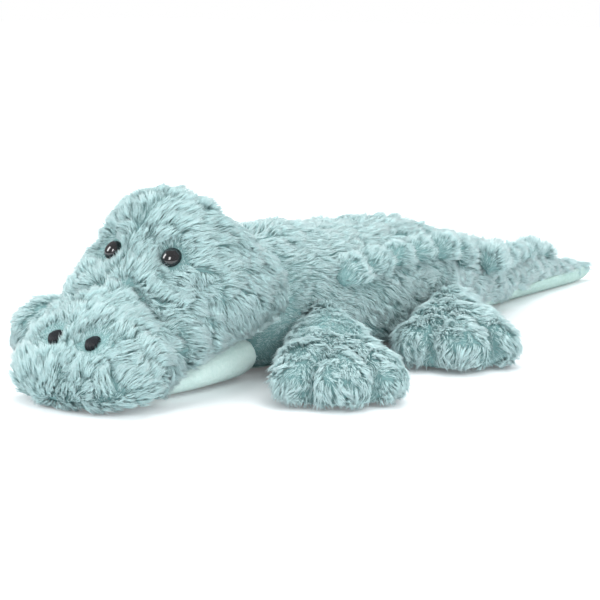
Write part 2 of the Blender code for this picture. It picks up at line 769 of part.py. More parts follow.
def build_eyes(cover, stuffing, outer, black, clear_plastic):
    """Eyes on locking stems and the washers behind the cloth."""
    for side in (1.0, -1.0):
        point, normal = face_point(outer, side * EYE_X, EYE_Z)
        post = turned_on(f"eye post {side:+.0f}", post_profile(), False, point, normal)
        cut(cover, post)
        cut(stuffing, post)
    point, normal = face_point(outer, EYE_X, EYE_Z)
    eye = turned_on("left_eye", eye_profile(), False, point, normal, black)
    washer = turned_on("left_eye_washer", washer_profile(), True, point, normal, clear_plastic)
    mirrored(eye, "right_eye")
    mirrored(washer, "right_eye_washer")


def build_nostrils(outer, thread):
    """The nostrils, stitched as flat ovals on the muzzle's two bulges."""
    skin = make_cutter("head skin", cage_mesh("head skin", head_rings(), head_tips(), True))
    soften(skin, GAP)
    point, normal = face_point(outer, NOSTRIL_X, NOSTRIL_Z)
    bm = bmesh.new()
    bmesh.ops.create_uvsphere(bm, u_segments=STEM_STEPS, v_segments=STEM_STEPS // 2, radius=1.0)
    for v in bm.verts:
        v.co = Vector((v.co.x * NOSTRIL_HALF_WIDTH, v.co.y * NOSTRIL_HALF_HEIGHT,
                       v.co.z * NOSTRIL_THICKNESS + GAP))
    mesh = bpy.data.meshes.new("left_nostril")
    bm.to_mesh(mesh)
    bm.free()
    nostril = make_piece("left_nostril", mesh, thread)
    look_along(nostril, point, normal)
    cut(nostril, skin)
    mirrored(nostril, "right_nostril")


def build_tail(cloth, mint, fill, floor):
    """The tail's fur cover, its mint underside and its stuffing."""
    cup = drum_cutter("rump cup", RUMP_Y, RUMP_RADIUS, RUMP_TOP, RUNNING_GAP)
    wide = TAIL_HALF_WIDTH + OVERRUN
    long = HALF_LENGTH + OVERRUN
    root = place_between(RUMP_Y, HALF_LENGTH, TAIL_ROOT_SHARE)
    front = box_cutter("ahead of tail root", (-wide, -long, -OVERRUN), (wide, root, BACK_HEIGHT))
    under = box_cutter("under tail seam", (-wide, 0.0, -OVERRUN), (wide, long, TAIL_SEAM))
    over = box_cutter("over tail seam", (-wide, 0.0, TAIL_SEAM - GAP), (wide, long, BACK_HEIGHT + OVERRUN))
    room = make_cutter("tail room", cage_mesh("tail room", tail_rings(), tail_tips(), False, TAIL_SIDES))
    soften(room, -PILE_WALL, smooth=False)
    for name, material in (("tail_cover", cloth), ("tail_underside", mint)):
        obj = make_piece(name, cage_mesh(name, tail_rings(), tail_tips(), True, TAIL_SIDES), material)
        soften(obj)
        cut(obj, room, front, cup)
        if name == "tail_cover":
            cut(obj, under)
        else:
            cut(obj, floor, over)
    cage = cage_mesh("tail_stuffing", tail_rings(), tail_tips(), False, TAIL_SIDES)
    stuffing = make_piece("tail_stuffing", cage, fill)
    soften(stuffing, -PILE_WALL - FILL_GAP, smooth=False)
    cut(stuffing, front, cup)


def line_x(line, place, half):
    """How far out a row of scutes runs at one place along it."""
    for (place0, x0), (place1, x1) in zip(line, line[1:]):
        if place <= place1:
            share = max(0.0, (place - place0) / (place1 - place0))
            return half * (x0 + (x1 - x0) * share)
    return half * line[-1][1]


def build_ridge(name, ends, span, line, half_width, surface, skin, cloth, shrink):
    """A row of scutes sewn along the back: a roll of cloth pinched in between its bumps."""
    length = abs(span[1] - span[0]) * (ends[1] - ends[0])
    count = max(2, ceil(length / SCUTE_LENGTH))
    rings = count * RINGS_PER_SCUTE - 1
    bm = bmesh.new()
    bmesh.ops.create_uvsphere(bm, u_segments=SCUTE_SIDES, v_segments=rings + 1, radius=1.0)
    by_height = sorted({round(v.co.z, 5) for v in bm.verts}, reverse=True)
    for v in bm.verts:
        along = by_height.index(round(v.co.z, 5)) / (rings + 1)
        place = place_between(*ends, along)
        x = line_x(line, place, half_width)
        y = place_between(*span, place)
        point, normal, *_ = surface.ray_cast(Vector((x, y, DOME_HEIGHT)), Vector((0.0, 0.0, -1.0)))
        bump = abs(sin(pi * count * along)) ** SCUTE_ROUND_SHARE
        size = 1.0 - shrink * along
        tall = SCUTE_HEIGHT * size * (SCUTE_DIP_SHARE + (1.0 - SCUTE_DIP_SHARE) * bump)
        half = SCUTE_HALF_WIDTH * size * (SCUTE_WAIST_SHARE + (1.0 - SCUTE_WAIST_SHARE) * bump)
        turn = atan2(v.co.y, v.co.x)
        across = Vector((normal.z, 0.0, -normal.x)).normalized()
        rise = normal * (max(0.0, sin(turn)) * tall + min(0.0, sin(turn)) * half)
        at_end = along <= 0.0 or along >= 1.0
        v.co = point - normal * half * SCUTE_SUNK_SHARE
        if not at_end:
            v.co += across * cos(turn) * half + rise
    mesh = bpy.data.meshes.new(name)
    bm.to_mesh(mesh)
    bm.free()
    ridge = make_piece(name, mesh, cloth)
    cut(ridge, skin)
    return ridge


def build_ridges(cloth):
    """Two rows of scutes on the torso, two on the tail's root, and one crest down the tail."""
    torso_skin = torso_loft("torso skin", GAP)
    tail_skin = make_cutter("tail skin", cage_mesh("tail skin", tail_rings(), tail_tips(), True, TAIL_SIDES))
    soften(tail_skin, GAP)
    torso_surface = surface_tree(torso_skin)
    tail_surface = surface_tree(tail_skin)
    torso_span = (NECK_Y, RUMP_Y)
    tail_span = (RUMP_Y, HALF_LENGTH)
    back = build_ridge("left_back_ridge", BACK_RIDGE_SHARES, torso_span, BACK_LINE_SHARES,
                       SHOULDER_HALF_WIDTH, torso_surface, torso_skin, cloth, SCUTE_SHRINK_SHARES[0])
    root = build_ridge("left_tail_ridge", TAIL_RIDGE_SHARES, tail_span, TAIL_LINE_SHARES,
                       TAIL_HALF_WIDTH, tail_surface, tail_skin, cloth, SCUTE_SHRINK_SHARES[1])
    mirrored(back, "right_back_ridge")
    mirrored(root, "right_tail_ridge")
    build_ridge("tail_crest", CREST_SHARES, tail_span, TAIL_LINE_SHARES, 0.0, tail_surface, tail_skin,
                cloth, SCUTE_SHRINK_SHARES[2])


def main():
    """Build every piece of the toy."""
    fur = make_material("Blue fur cloth", FUR_COLOUR, 0.95)
    mint = make_material("Mint nap cloth", MINT_COLOUR, 0.9)
    black = make_material("Black eye plastic", BLACK_COLOUR, 0.08)
    thread = make_material("Charcoal thread", THREAD_COLOUR, 0.5)
    fill = make_material("Polyester fill", FILL_COLOUR, 1.0)
    clear_plastic = make_material("Clear washer plastic", CLEAR_COLOUR, 0.3)
    wide = HALF_LENGTH + OVERRUN
    floor = box_cutter("floor", (-wide, -wide, -OVERRUN), (wide, wide, 0.0))
    build_torso(fur, mint, fill, floor)
    cover, stuffing, outer = build_head(fur, mint, fill, floor)
    build_eyes(cover, stuffing, outer, black, clear_plastic)
    build_nostrils(outer, thread)
    build_legs(fur, fill, floor)
    build_tail(fur, mint, fill, floor)
    build_ridges(fur)


clear_scene()
PIECES = make_collection("Plush crocodile")
CUTTERS = make_collection("Cutters")
main()
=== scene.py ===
from math import atan2, cos, pi, radians, sin

import bmesh
import bpy
import numpy as np
from mathutils import Matrix, Vector
from mathutils.kdtree import KDTree


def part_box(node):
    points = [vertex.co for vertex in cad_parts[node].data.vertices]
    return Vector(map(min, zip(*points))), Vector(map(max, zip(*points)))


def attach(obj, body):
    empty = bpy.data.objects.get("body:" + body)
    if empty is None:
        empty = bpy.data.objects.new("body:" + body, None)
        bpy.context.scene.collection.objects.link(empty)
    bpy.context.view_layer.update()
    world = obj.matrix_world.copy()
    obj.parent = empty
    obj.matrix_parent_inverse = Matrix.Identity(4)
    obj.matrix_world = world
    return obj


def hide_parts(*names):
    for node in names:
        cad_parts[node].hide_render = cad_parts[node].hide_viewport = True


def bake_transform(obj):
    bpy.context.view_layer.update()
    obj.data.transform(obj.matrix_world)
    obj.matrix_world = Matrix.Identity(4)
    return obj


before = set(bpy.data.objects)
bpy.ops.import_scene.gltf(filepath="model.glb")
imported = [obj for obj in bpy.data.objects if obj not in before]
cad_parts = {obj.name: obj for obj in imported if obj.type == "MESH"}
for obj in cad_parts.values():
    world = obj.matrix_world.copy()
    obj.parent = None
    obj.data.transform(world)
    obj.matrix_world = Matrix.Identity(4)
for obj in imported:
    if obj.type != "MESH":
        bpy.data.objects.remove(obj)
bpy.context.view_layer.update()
scene = bpy.context.scene
mm = 0.001
floorClearance = 0.2 * mm  # how far the lowest strands stay above the floor
weld = 0.01 * mm  # vertices of a solid closer than this are one


# Small numeric helpers on arrays of points
def unit(vectors):
    return vectors / np.maximum(np.linalg.norm(vectors, axis=-1, keepdims=True), 1e-9)


def smoothStep(low, high, values):
    share = np.clip((values - low) / (high - low), 0.0, 1.0)
    return share * share * (3.0 - 2.0 * share)


def between(low, share):
    # from a low value up to 1
    return low + (1.0 - low) * share


def centreOf(node):
    low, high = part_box(node)
    return np.array([(a + b) / 2.0 for a, b in zip(low, high)])


def inMetres(path):
    return [(x * mm, y * mm, z * mm) for x, y, z in path]


def distanceTo(points, place):
    return np.linalg.norm(points - np.asarray(place), axis=-1)


def distanceToPath(points, path):
    # nearest distance from each point to a line of points
    nearest = np.full(len(points), 1e9)
    for start, end in zip(path, path[1:]):
        start, end = np.asarray(start), np.asarray(end)
        run = end - start
        share = np.clip((points - start) @ run / (run @ run), 0.0, 1.0)
        nearest = np.minimum(nearest, np.linalg.norm(points - start - share[:, None] * run, axis=-1))
    return nearest


def ripple(points, seed, scale, count=10):
    # smooth random field from -1 to 1, a sum of waves in seeded directions
    rng = np.random.default_rng(seed)
    waves = rng.normal(size=(count, 3)) * (2.0 * pi / scale)
    shifts = rng.uniform(0.0, 2.0 * pi, count)
    return np.sin(points @ waves.T + shifts).sum(axis=1) / np.sqrt(count / 2.0) / 2.0


# Shader maths as expressions: one wrapped socket, and one material with its nodes
class Signal:
    def __init__(self, tree, socket):
        self.tree, self.socket = tree, socket

    def maths(self, operation, other, swapped=False):
        node = self.tree.nodes.new("ShaderNodeMath")
        node.operation = operation
        for slot, value in zip(node.inputs, (other, self) if swapped else (self, other)):
            if isinstance(value, Signal):
                self.tree.links.new(value.socket, slot)
            else:
                slot.default_value = value
        return Signal(self.tree, node.outputs[0])

    def __add__(self, other):
        return self.maths("ADD", other)

    def __sub__(self, other):
        return self.maths("SUBTRACT", other)

    def __rsub__(self, other):
        return self.maths("SUBTRACT", other, swapped=True)

    def __mul__(self, other):
        return self.maths("MULTIPLY", other)


class Finish:
    def __init__(self, name, **fixed):
        self.material = bpy.data.materials.new(name)
        self.material.use_nodes = True
        self.tree = self.material.node_tree
        self.shader = self.tree.nodes["Principled BSDF"]
        for socket, value in fixed.items():
            self.shader.inputs[socket.replace("_", " ")].default_value = value

    def node(self, kind, values=None, output=0, stops=None, **settings):
        made = self.tree.nodes.new(kind)
        for key, value in settings.items():
            setattr(made, key, value)
        for index, (place, colour) in enumerate(stops or ()):
            ramp = made.color_ramp.elements
            stop = ramp[index] if index < 2 else ramp.new(place)
            stop.position, stop.color = place, (*colour, 1.0)
        for key, value in (values or {}).items():
            if isinstance(value, Signal):
                self.tree.links.new(value.socket, made.inputs[key])
            else:
                made.inputs[key].default_value = value
        return Signal(self.tree, made.outputs[output])

    def feed(self, socket, signal):
        self.tree.links.new(signal.socket, self.shader.inputs[socket])

    def place(self):
        return self.node("ShaderNodeTexCoord", output="Object")

    def noise(self, scale, detail=2.0, roughness=0.5):
        return self.node("ShaderNodeTexNoise", {"Vector": self.place(), "Scale": scale, "Detail": detail,
                                                "Roughness": roughness}, output="Fac")

    def attribute(self, name):
        return self.node("ShaderNodeAttribute", output="Fac", attribute_name=name)

    def bump(self, height, strength, distance):
        self.feed("Normal", self.node("ShaderNodeBump", {"Height": height, "Strength": strength,
                                                         "Distance": distance}))


# Looks: colours are linear, scales are in waves per metre
# strand colours from root to tip: the darker roots are painted shade deep in the pile, the paler tips painted
# light
fur = {
    "root": (0.22, 0.38, 0.385), "middle": (0.535, 0.745, 0.755), "tip": (0.72, 0.895, 0.905),
    "backing": (0.21, 0.36, 0.365), "middleAt": 0.48,
    "along": 0.62, "tone": 0.36, "patch": 0.30, "darker": 0.14, "patchScale": 26.0,
}
mint = {
    "dark": (0.42, 0.62, 0.57), "middle": (0.66, 0.86, 0.82), "light": (0.82, 0.98, 0.94),
    "middleAt": 0.40, "lightAt": 0.75, "nap": 0.6, "sweep": 0.4, "napScale": 420.0, "sweepScale": 38.0,
    # painted shade: the mint is darkened along the tail
    "tail": {"From Min": 0.05, "From Max": 0.12, "To Min": 0.0, "To Max": 0.45},  # darker along the tail
    "napBump": 0.7, "bump": (0.8, 0.0016),
}
speckled = {
    # the backing under the pile is dark, painted shade in the gaps between the tufts
    "pileBacking": {
        "fixed": {"Roughness": 0.95, "Specular_IOR_Level": 0.15},
        "scale": 900.0, "stops": ((0.3, fur["backing"]), (0.7, fur["root"])), "bump": (0.6, 0.0006),
    },
    "eyeGloss": {
        "fixed": {"Roughness": 0.03, "Specular_IOR_Level": 1.0},
        "scale": 240.0, "stops": ((0.3, (0.004, 0.004, 0.005)), (0.7, (0.010, 0.010, 0.012))),
    },
    "nostrilThread": {
        "fixed": {"Roughness": 0.38, "Specular_IOR_Level": 0.35},
        "scale": 1400.0, "stops": ((0.3, (0.004, 0.005, 0.007)), (0.75, (0.020, 0.024, 0.030))),
        "bump": (0.4, 0.0003),
    },
}


def pileFinish():
    # each strand pales from root to tip, painted shade deep in the pile and painted light on the tips, and
    # its tone and a broad patch shift it
    look = Finish("pileStrand", Roughness=0.82, Sheen_Weight=0.25, Sheen_Roughness=0.5,
                  Specular_IOR_Level=0.25)
    patch = look.noise(fur["patchScale"], 3.0)
    share = (look.attribute("along") * fur["along"] + look.attribute("tone") * fur["tone"]
             + patch * fur["patch"] - fur["darker"])
    look.feed("Base Color", look.node("ShaderNodeValToRGB", {"Fac": share}, stops=(
        (0.0, fur["root"]), (1.0, fur["tip"]), (fur["middleAt"], fur["middle"]))))
    return look.material


def mintFinish():
    look = Finish("mintNap", Roughness=0.9, Sheen_Weight=0.35, Sheen_Roughness=0.45,
                  Specular_IOR_Level=0.2)
    nap = look.noise(mint["napScale"], 4.0, 0.75)
    sweep = look.noise(mint["sweepScale"], 3.0, 0.6)
    backwards = look.node("ShaderNodeSeparateXYZ", {0: look.place()}, output="Y")
    # painted shade: darker along the tail
    darker = look.node("ShaderNodeMapRange", {"Value": backwards, **mint["tail"]})
    share = sweep * mint["sweep"] + nap * mint["nap"] - darker
    look.feed("Base Color", look.node("ShaderNodeValToRGB", {"Fac": share}, stops=(
        (0.0, mint["dark"]), (mint["lightAt"], mint["light"]), (mint["middleAt"], mint["middle"]))))
    look.bump(nap * mint["napBump"] + sweep, *mint["bump"])
    return look.material


def speckledFinish(name):
    # two near tones mixed by a fine noise, with a bump where the surface is rough
    values = speckled[name]
    look = Finish(name, **values["fixed"])
    speckle = look.noise(values["scale"])
    look.feed("Base Color", look.node("ShaderNodeValToRGB", {"Fac": speckle}, stops=values["stops"]))
    if "bump" in values:
        look.bump(speckle, *values["bump"])
    return look.material


pileLook = pileFinish()
backingLook = speckledFinish("pileBacking")
mintLook = mintFinish()
eyeLook = speckledFinish("eyeGloss")
threadLook = speckledFinish("nostrilThread")


# Meshes
def addPiece(name, mesh, look, body):
    piece = bpy.data.objects.new(name, mesh)
    scene.collection.objects.link(piece)
    piece.data.materials.clear()
    piece.data.materials.append(look)
    if body:
        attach(piece, body)
    return piece


def meshFrom(bm, name):
    mesh = bpy.data.meshes.new(name)
    bm.to_mesh(mesh)
    bm.free()
    return mesh


def nodesMesh(name, nodes, swollen):
    # one mesh from copies of CAD nodes, with the inner ones swollen until they touch the outer ones
    bm = bmesh.new()
    for node in nodes:
        part = bmesh.new()
        part.from_mesh(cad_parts[node].data)
        bmesh.ops.remove_doubles(part, verts=part.verts[:], dist=weld)
        part.normal_update()
        if node in swollen:
            for v in part.verts:
                v.co += v.normal * swollen[node]
        copy = meshFrom(part, name)
        bm.from_mesh(copy)
        bpy.data.meshes.remove(copy)
    return meshFrom(bm, name)


def applied(piece):
    # the piece's modifiers applied to its own mesh
    graph = bpy.context.evaluated_depsgraph_get()
    graph.update()
    mesh = bpy.data.meshes.new_from_object(piece.evaluated_get(graph), depsgraph=graph)
    piece.modifiers.clear()
    old = piece.data
    piece.data = mesh
    bpy.data.meshes.remove(old)


def rowsOf(items, key):
    # a value of three numbers from every item
    out = np.empty(len(items) * 3)
    items.foreach_get(key, out)
    return out.reshape(-1, 3)


def pointsOf(mesh):
    return rowsOf(mesh.vertices, "co")


def normalsOf(mesh):
    return rowsOf(mesh.vertex_normals, "vector")


def setPoints(mesh, points):
    mesh.vertices.foreach_set("co", points.ravel())
    mesh.update()


def keepLargest(mesh):
    # drop what the remesh leaves loose inside the form
    bm = bmesh.new()
    bm.from_mesh(mesh)
    bm.verts.ensure_lookup_table()
    seen, islands = set(), []
    for v in bm.verts:
        if v in seen:
            continue
        island, edge = {v}, [v]
        while edge:
            here = edge.pop()
            for link in here.link_edges:
                other = link.other_vert(here)
                if other not in island:
                    island.add(other)
                    edge.append(other)
        seen |= island
        islands.append(island)
    islands.sort(key=len)
    for island in islands[:-1]:
        bmesh.ops.delete(bm, geom=list(island), context="VERTS")
    bm.to_mesh(mesh)
    bm.free()


def relax(mesh, rounds, factor, where=None):
    # even the surface out, only where a mask asks for it
    bm = bmesh.new()
    bm.from_mesh(mesh)
    verts = bm.verts[:]
    if where is not None:
        wanted = where(pointsOf(mesh))
        verts = [v for v, yes in zip(verts, wanted) if yes]
    for _ in range(rounds):
        bmesh.ops.smooth_vert(bm, verts=verts, factor=factor,
                              use_axis_x=True, use_axis_y=True, use_axis_z=True)
    bm.to_mesh(mesh)
    bm.free()


cloth = {"quality": 4, "mass": 0.3, "stretch": 12.0, "bending": 0.6, "frames": 20}


def puffUp(piece, pinned, pressure, cap):
    # inflate the cloth between its pinned seams, and let no point move further than the cap
    start = pointsOf(piece.data)
    group = piece.vertex_groups.new(name="seams")
    group.add([int(i) for i in np.nonzero(pinned)[0]], 1.0, "REPLACE")
    puff = piece.modifiers.new("puff", "CLOTH")
    puff.settings.quality = cloth["quality"]
    puff.settings.mass = cloth["mass"]
    puff.settings.tension_stiffness = puff.settings.compression_stiffness = cloth["stretch"]
    puff.settings.bending_stiffness = cloth["bending"]
    puff.settings.use_pressure = True
    puff.settings.uniform_pressure_force = pressure
    puff.settings.vertex_group_mass = "seams"
    puff.settings.effector_weights.gravity = 0.0
    puff.collision_settings.use_collision = False
    puff.point_cache.frame_start = 1
    puff.point_cache.frame_end = cloth["frames"]
    for step in range(1, cloth["frames"] + 1):
        scene.frame_set(step)
    applied(piece)
    piece.vertex_groups.clear()
    moved = pointsOf(piece.data) - start
    reach = np.linalg.norm(moved, axis=1, keepdims=True)
    setPoints(piece.data, start + moved * np.minimum(1.0, cap / np.maximum(reach, 1e-9)))
    scene.frame_set(1)


stuffed = {
    "evenRounds": 3, "evenFactor": 0.5, "lumpSeed": 7, "lumpSize": 24.0 * mm,
    "underside": (-0.85, -0.35),  # where normals point this far down, the form is left as it is
    "creasePin": 0.7, "seatFade": 2.0, "lowest": 0.5 * mm, "pinnedBelow": 2.0 * mm,
}


def stuffedSkin(name, form, body):
    # a closed swollen skin in the space of its CAD cover and stuffing
    mesh = nodesMesh(name, form["nodes"], form["swollen"])
    skin = addPiece(name, mesh, backingLook, body)
    remesh = skin.modifiers.new("voxels", "REMESH")
    remesh.mode = "VOXEL"
    remesh.voxel_size = form["voxel"]
    applied(skin)
    keepLargest(skin.data)
    relax(skin.data, stuffed["evenRounds"], stuffed["evenFactor"])
    lowest = form.get("floor", stuffed["lowest"])
    if "reshape" in form:
        setPoints(skin.data, form["reshape"](pointsOf(skin.data)))
    if "melt" in form:
        relax(skin.data, form["meltRounds"], stuffed["evenFactor"], form["melt"])
    points = pointsOf(skin.data)
    normals = normalsOf(skin.data)
    depth = form["inset"] + form["lumps"] * ripple(points, stuffed["lumpSeed"], stuffed["lumpSize"])
    for place, radius, out in form.get("swells", ()):
        depth -= out * np.exp(-(distanceTo(points, place) / radius) ** 2)
    if "profile" in form:
        depth -= form["profile"](points)
    depth *= smoothStep(*stuffed["underside"], normals[:, 2])
    pinned = np.zeros(len(points), bool)
    for crease in form.get("creases", ()):
        near = distanceToPath(points, crease["path"])
        depth += crease["depth"] * np.exp(-(near / crease["width"]) ** 2)
        pinned |= near < crease["width"] * stuffed["creasePin"]
    for place, radius, out in form.get("seats", ()):
        near = distanceTo(points, place)
        depth = out + (depth - out) * smoothStep(radius, radius * stuffed["seatFade"], near)
        pinned |= near < radius
    points -= normals * depth[:, None]
    points[:, 2] = np.maximum(points[:, 2], lowest)
    setPoints(skin.data, points)
    pinned |= points[:, 2] < stuffed["pinnedBelow"]
    puffUp(skin, pinned, form["pressure"], form["cap"])
    points = pointsOf(skin.data)
    points[:, 2] = np.maximum(points[:, 2], lowest)
    setPoints(skin.data, points)
    smooth = skin.modifiers.new("fine", "SUBSURF")
    smooth.levels = smooth.render_levels = 1
    applied(skin)
    skin.data.shade_smooth()
    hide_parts(*form["standsFor"])
    print(name, len(skin.data.polygons), "faces")
    return skin


def snapped(skin, path):
    # a line of places moved on to the nearest points of a skin
    points = pointsOf(skin.data)
    return [points[np.argmin(distanceTo(points, place))] for place in path]


# Pile: one strand, pointed at both ends and bent at its middle, repeated over a skin
def strandTemplate():
    bm = bmesh.new()
    bmesh.ops.create_uvsphere(bm, u_segments=3, v_segments=2, radius=1.0)
    bm.normal_update()
    bm.verts.index_update()
    turns = np.array([atan2(v.co.y, v.co.x) for v in bm.verts])
    levels = np.array([(v.co.z + 1.0) / 2.0 for v in bm.verts])
    loops = [[v.index for v in f.verts] for f in bm.faces]
    bm.free()
    return turns, levels, loops


strand = strandTemplate()


def surfaceSamples(skin, count, rng, wanted):
    mesh = skin.data
    mesh.calc_loop_triangles()
    corners = np.empty(len(mesh.loop_triangles) * 3, int)
    mesh.loop_triangles.foreach_get("vertices", corners)
    corners = corners.reshape(-1, 3)
    points, normals = pointsOf(mesh), normalsOf(mesh)
    a, b, c = (points[corners[:, i]] for i in range(3))
    area = np.linalg.norm(np.cross(b - a, c - a), axis=1) / 2.0
    area *= np.clip(wanted((a + b + c) / 3.0, unit(np.cross(b - a, c - a))), 0.0, None)
    picks = np.searchsorted(np.cumsum(area) / area.sum(), rng.uniform(size=count))
    u, v = rng.uniform(size=(2, count))
    over = u + v > 1.0
    u[over], v[over] = 1.0 - u[over], 1.0 - v[over]
    weights = np.stack([1.0 - u - v, u, v], axis=1)[:, :, None]
    roots = (points[corners[picks]] * weights).sum(axis=1)
    facing = unit((normals[corners[picks]] * weights).sum(axis=1))
    return roots, facing, area.sum()


def turned(vectors, axes, angles):
    # turn each vector about its own axis
    c, s = np.cos(angles)[:, None], np.sin(angles)[:, None]
    along = (vectors * axes).sum(axis=1, keepdims=True)
    return vectors * c + np.cross(axes, vectors) * s + axes * along * (1.0 - c)


def nearestOf(points, seeds):
    # for each point, which of the first few points is nearest, how far it is, and how far the next one is
    tree = KDTree(seeds)
    for i in range(seeds):
        tree.insert(points[i], i)
    tree.balance()
    found = [tree.find_n(p, 2) for p in points]
    return (np.array([two[0][1] for two in found]), np.array([two[0][2] for two in found]),
            np.array([two[-1][2] for two in found]))


variety = {
    "length": (0.8, 1.15), "tuftLength": (0.88, 1.12), "lockLength": (0.85, 1.12),
    "lift": 0.05, "tuftLift": 0.06, "lockLift": 0.10, "waveLift": 0.22,
    "strandLimits": (0.12, 0.95), "liftLimits": (0.10, 0.97), "fineSwirl": 0.5,
    "tone": 0.10, "tuftTone": 0.07, "lockTone": 0.07, "waveTone": 0.14, "meanTone": 0.55,
    "width": (0.75, 1.2), "thinning": (0.6, 1.1), "gather": (0.6, 1.0), "tipScatter": 0.35 * mm,
}
waveSizes = {"swirl": 34.0 * mm, "fineSwirl": 13.0 * mm, "lift": 17.0 * mm, "partings": 28.0 * mm,
             "tone": 45.0 * mm}
# partings: the strands there are shorter, and darker as painted shade between the locks
partings = {"from": 0.4 * mm, "to": 3.4 * mm, "patchy": (-0.5, 0.5), "shorter": 0.40, "darker": 0.60}
strandForm = {"rootDepth": 0.6 * mm, "lower": 0.50, "upper": 0.55, "rise": 0.35, "lean": 0.6, "tipRise": 0.75}


def growPile(name, skin, coat, body, seed):
    rng = np.random.default_rng(seed)
    count = coat["strands"]
    roots, facing, area = surfaceSamples(skin, count, rng, coat["where"])
    flow = coat["flow"](roots)
    lie = unit(flow - (flow * facing).sum(axis=1, keepdims=True) * facing)
    lie = turned(lie, facing, coat["swirl"] * ripple(roots, seed + 1, waveSizes["swirl"])
                 + variety["fineSwirl"] * coat["swirl"] * ripple(roots, seed + 2, waveSizes["fineSwirl"]))
    length = coat["length"] * rng.uniform(*variety["length"], count) * coat["shorten"](roots)
    lift = coat["lift"] + variety["waveLift"] * ripple(roots, seed + 3, waveSizes["lift"])
    lift = np.clip(lift + rng.normal(0.0, variety["lift"], count), *variety["strandLimits"])

    # fine tufts round a few of the strands, and wide locks round fewer, with partings between the locks
    tufts = count // coat["perTuft"]
    owner = nearestOf(roots, tufts)[0]
    locks = max(2, int(area / coat["lockSize"] ** 2))
    lock, near, far = nearestOf(roots, locks)
    parting = 1.0 - smoothStep(partings["from"], partings["to"], far - near)
    parting *= smoothStep(*partings["patchy"], ripple(roots, seed + 5, waveSizes["partings"]))
    lie = turned(lie, facing, rng.normal(0.0, coat["tuftTurn"], tufts)[owner]
                 + rng.normal(0.0, coat["lockTurn"], locks)[lock])
    lift = lift + rng.normal(0.0, variety["tuftLift"], tufts)[owner]
    lift = np.clip(lift + rng.normal(0.0, variety["lockLift"], locks)[lock], *variety["liftLimits"])
    length = length * rng.uniform(*variety["tuftLength"], tufts)[owner]
    length = length * rng.uniform(*variety["lockLength"], locks)[lock]
    length = length * (1.0 - partings["shorter"] * parting)

    # a steep lower half and a flatter upper half, drawn towards the middle of its tuft and lock
    first = unit(facing * (strandForm["rise"] + lift)[:, None]
                 + lie * (1.0 - strandForm["lean"] * lift)[:, None])
    last = unit(facing * (lift * strandForm["tipRise"])[:, None] + lie)
    low = roots - facing * strandForm["rootDepth"]
    middle = low + first * (length * strandForm["lower"])[:, None]
    top = middle + last * (length * strandForm["upper"])[:, None]
    gather = coat["gather"] * rng.uniform(*variety["gather"], count)
    top += (top[owner] - top) * gather[:, None] + (top[lock] - top) * coat["lockGather"]
    middle += (middle[owner] - middle) * (gather * 0.35)[:, None]
    top += rng.normal(0.0, variety["tipScatter"], (count, 3))

    turns, levels, loops = strand
    size = len(turns)
    width = coat["width"] * rng.uniform(*variety["width"], count)
    width = width * np.clip(length / coat["length"], *variety["thinning"])
    run = unit(top - low)
    side = unit(np.cross(run, unit(rng.normal(size=(count, 3)))))
    other = np.cross(run, side)
    path = np.where(levels[None, :, None] < 0.25, low[:, None],
                    np.where(levels[None, :, None] < 0.75, middle[:, None], top[:, None]))
    girth = np.where(np.abs(levels - 0.5) < 0.25, 1.0, 0.0)
    around = np.cos(turns)[None, :, None] * side[:, None] + np.sin(turns)[None, :, None] * other[:, None]
    points = (path + around * (girth[None, :] * width[:, None])[:, :, None]).reshape(-1, 3)
    points[:, 2] = np.maximum(points[:, 2], floorClearance)

    mesh = bpy.data.meshes.new(name)
    starts = np.cumsum([0] + [len(loop) for loop in loops])
    flat = np.concatenate([np.array(loop) for loop in loops])
    mesh.vertices.add(count * size)
    mesh.loops.add(count * len(flat))
    mesh.polygons.add(count * len(loops))
    mesh.vertices.foreach_set("co", points.ravel())
    mesh.loops.foreach_set("vertex_index", (flat[None, :] + np.arange(count)[:, None] * size).ravel())
    firstLoops = starts[None, :-1] + np.arange(count)[:, None] * len(flat)
    mesh.polygons.foreach_set("loop_start", firstLoops.ravel())
    mesh.update(calc_edges=True)
    tone = variety["meanTone"] + rng.normal(0.0, variety["tuftTone"], tufts)[owner]
    tone += rng.normal(0.0, variety["lockTone"], locks)[lock] + rng.normal(0.0, variety["tone"], count)
    # painted shade: strands darker in the partings
    tone += variety["waveTone"] * ripple(roots, seed + 4, waveSizes["tone"]) - partings["darker"] * parting
    # each part's shade function paints shade and light into the tone
    tone -= coat["shade"](roots)
    for label, values in (("along", np.tile(levels, count)), ("tone", np.repeat(tone, size))):
        mesh.attributes.new(label, "FLOAT", "POINT").data.foreach_set("value", values)

    # each strand unwraps into a cell of its own
    columns = int(np.ceil(np.sqrt(count)))
    cell = np.stack([np.arange(count) % columns, np.arange(count) // columns], axis=1) / columns
    inside = np.stack([(turns[flat] + pi) / (2.0 * pi), levels[flat]], axis=1) * 0.8 + 0.1
    layer = mesh.uv_layers.new(name="OFBake")
    layer.uv.foreach_set("vector", (cell[:, None, :] + inside[None] / columns).ravel())
    mesh.shade_smooth()
    pile = addPiece(name, mesh, pileLook, body)
    print(name, len(mesh.polygons), "faces")
    return pile


# Camera and stage
view = {"azimuth": 38.87, "elevation": 10.05, "distance": 1.0898, "lens": 110.75, "film": 36.0,
        "aim": (0.0363, -0.1156, 0.0419)}
lights = {
    "softLeft": {"azimuth": -51.0, "elevation": 27.0, "distance": 1.6, "size": (0.48, 0.84), "power": 10.5},
    "softMiddle": {"azimuth": 9.0, "elevation": 25.0, "distance": 1.6, "size": (0.40, 0.66), "power": 7.5},
    "softRight": {"azimuth": 76.0, "elevation": 28.0, "distance": 1.7, "size": (1.3, 1.3), "power": 19.0},
    "overhead": {"azimuth": 205.0, "elevation": 73.0, "distance": 1.8, "size": (1.7, 1.7), "power": 30.0},
}
studio = {"aim": (0.0, -0.08, 0.05), "world": 0.44, "inEyes": ("softLeft", "softMiddle")}
white = (1.0, 1.0, 1.0, 1.0)


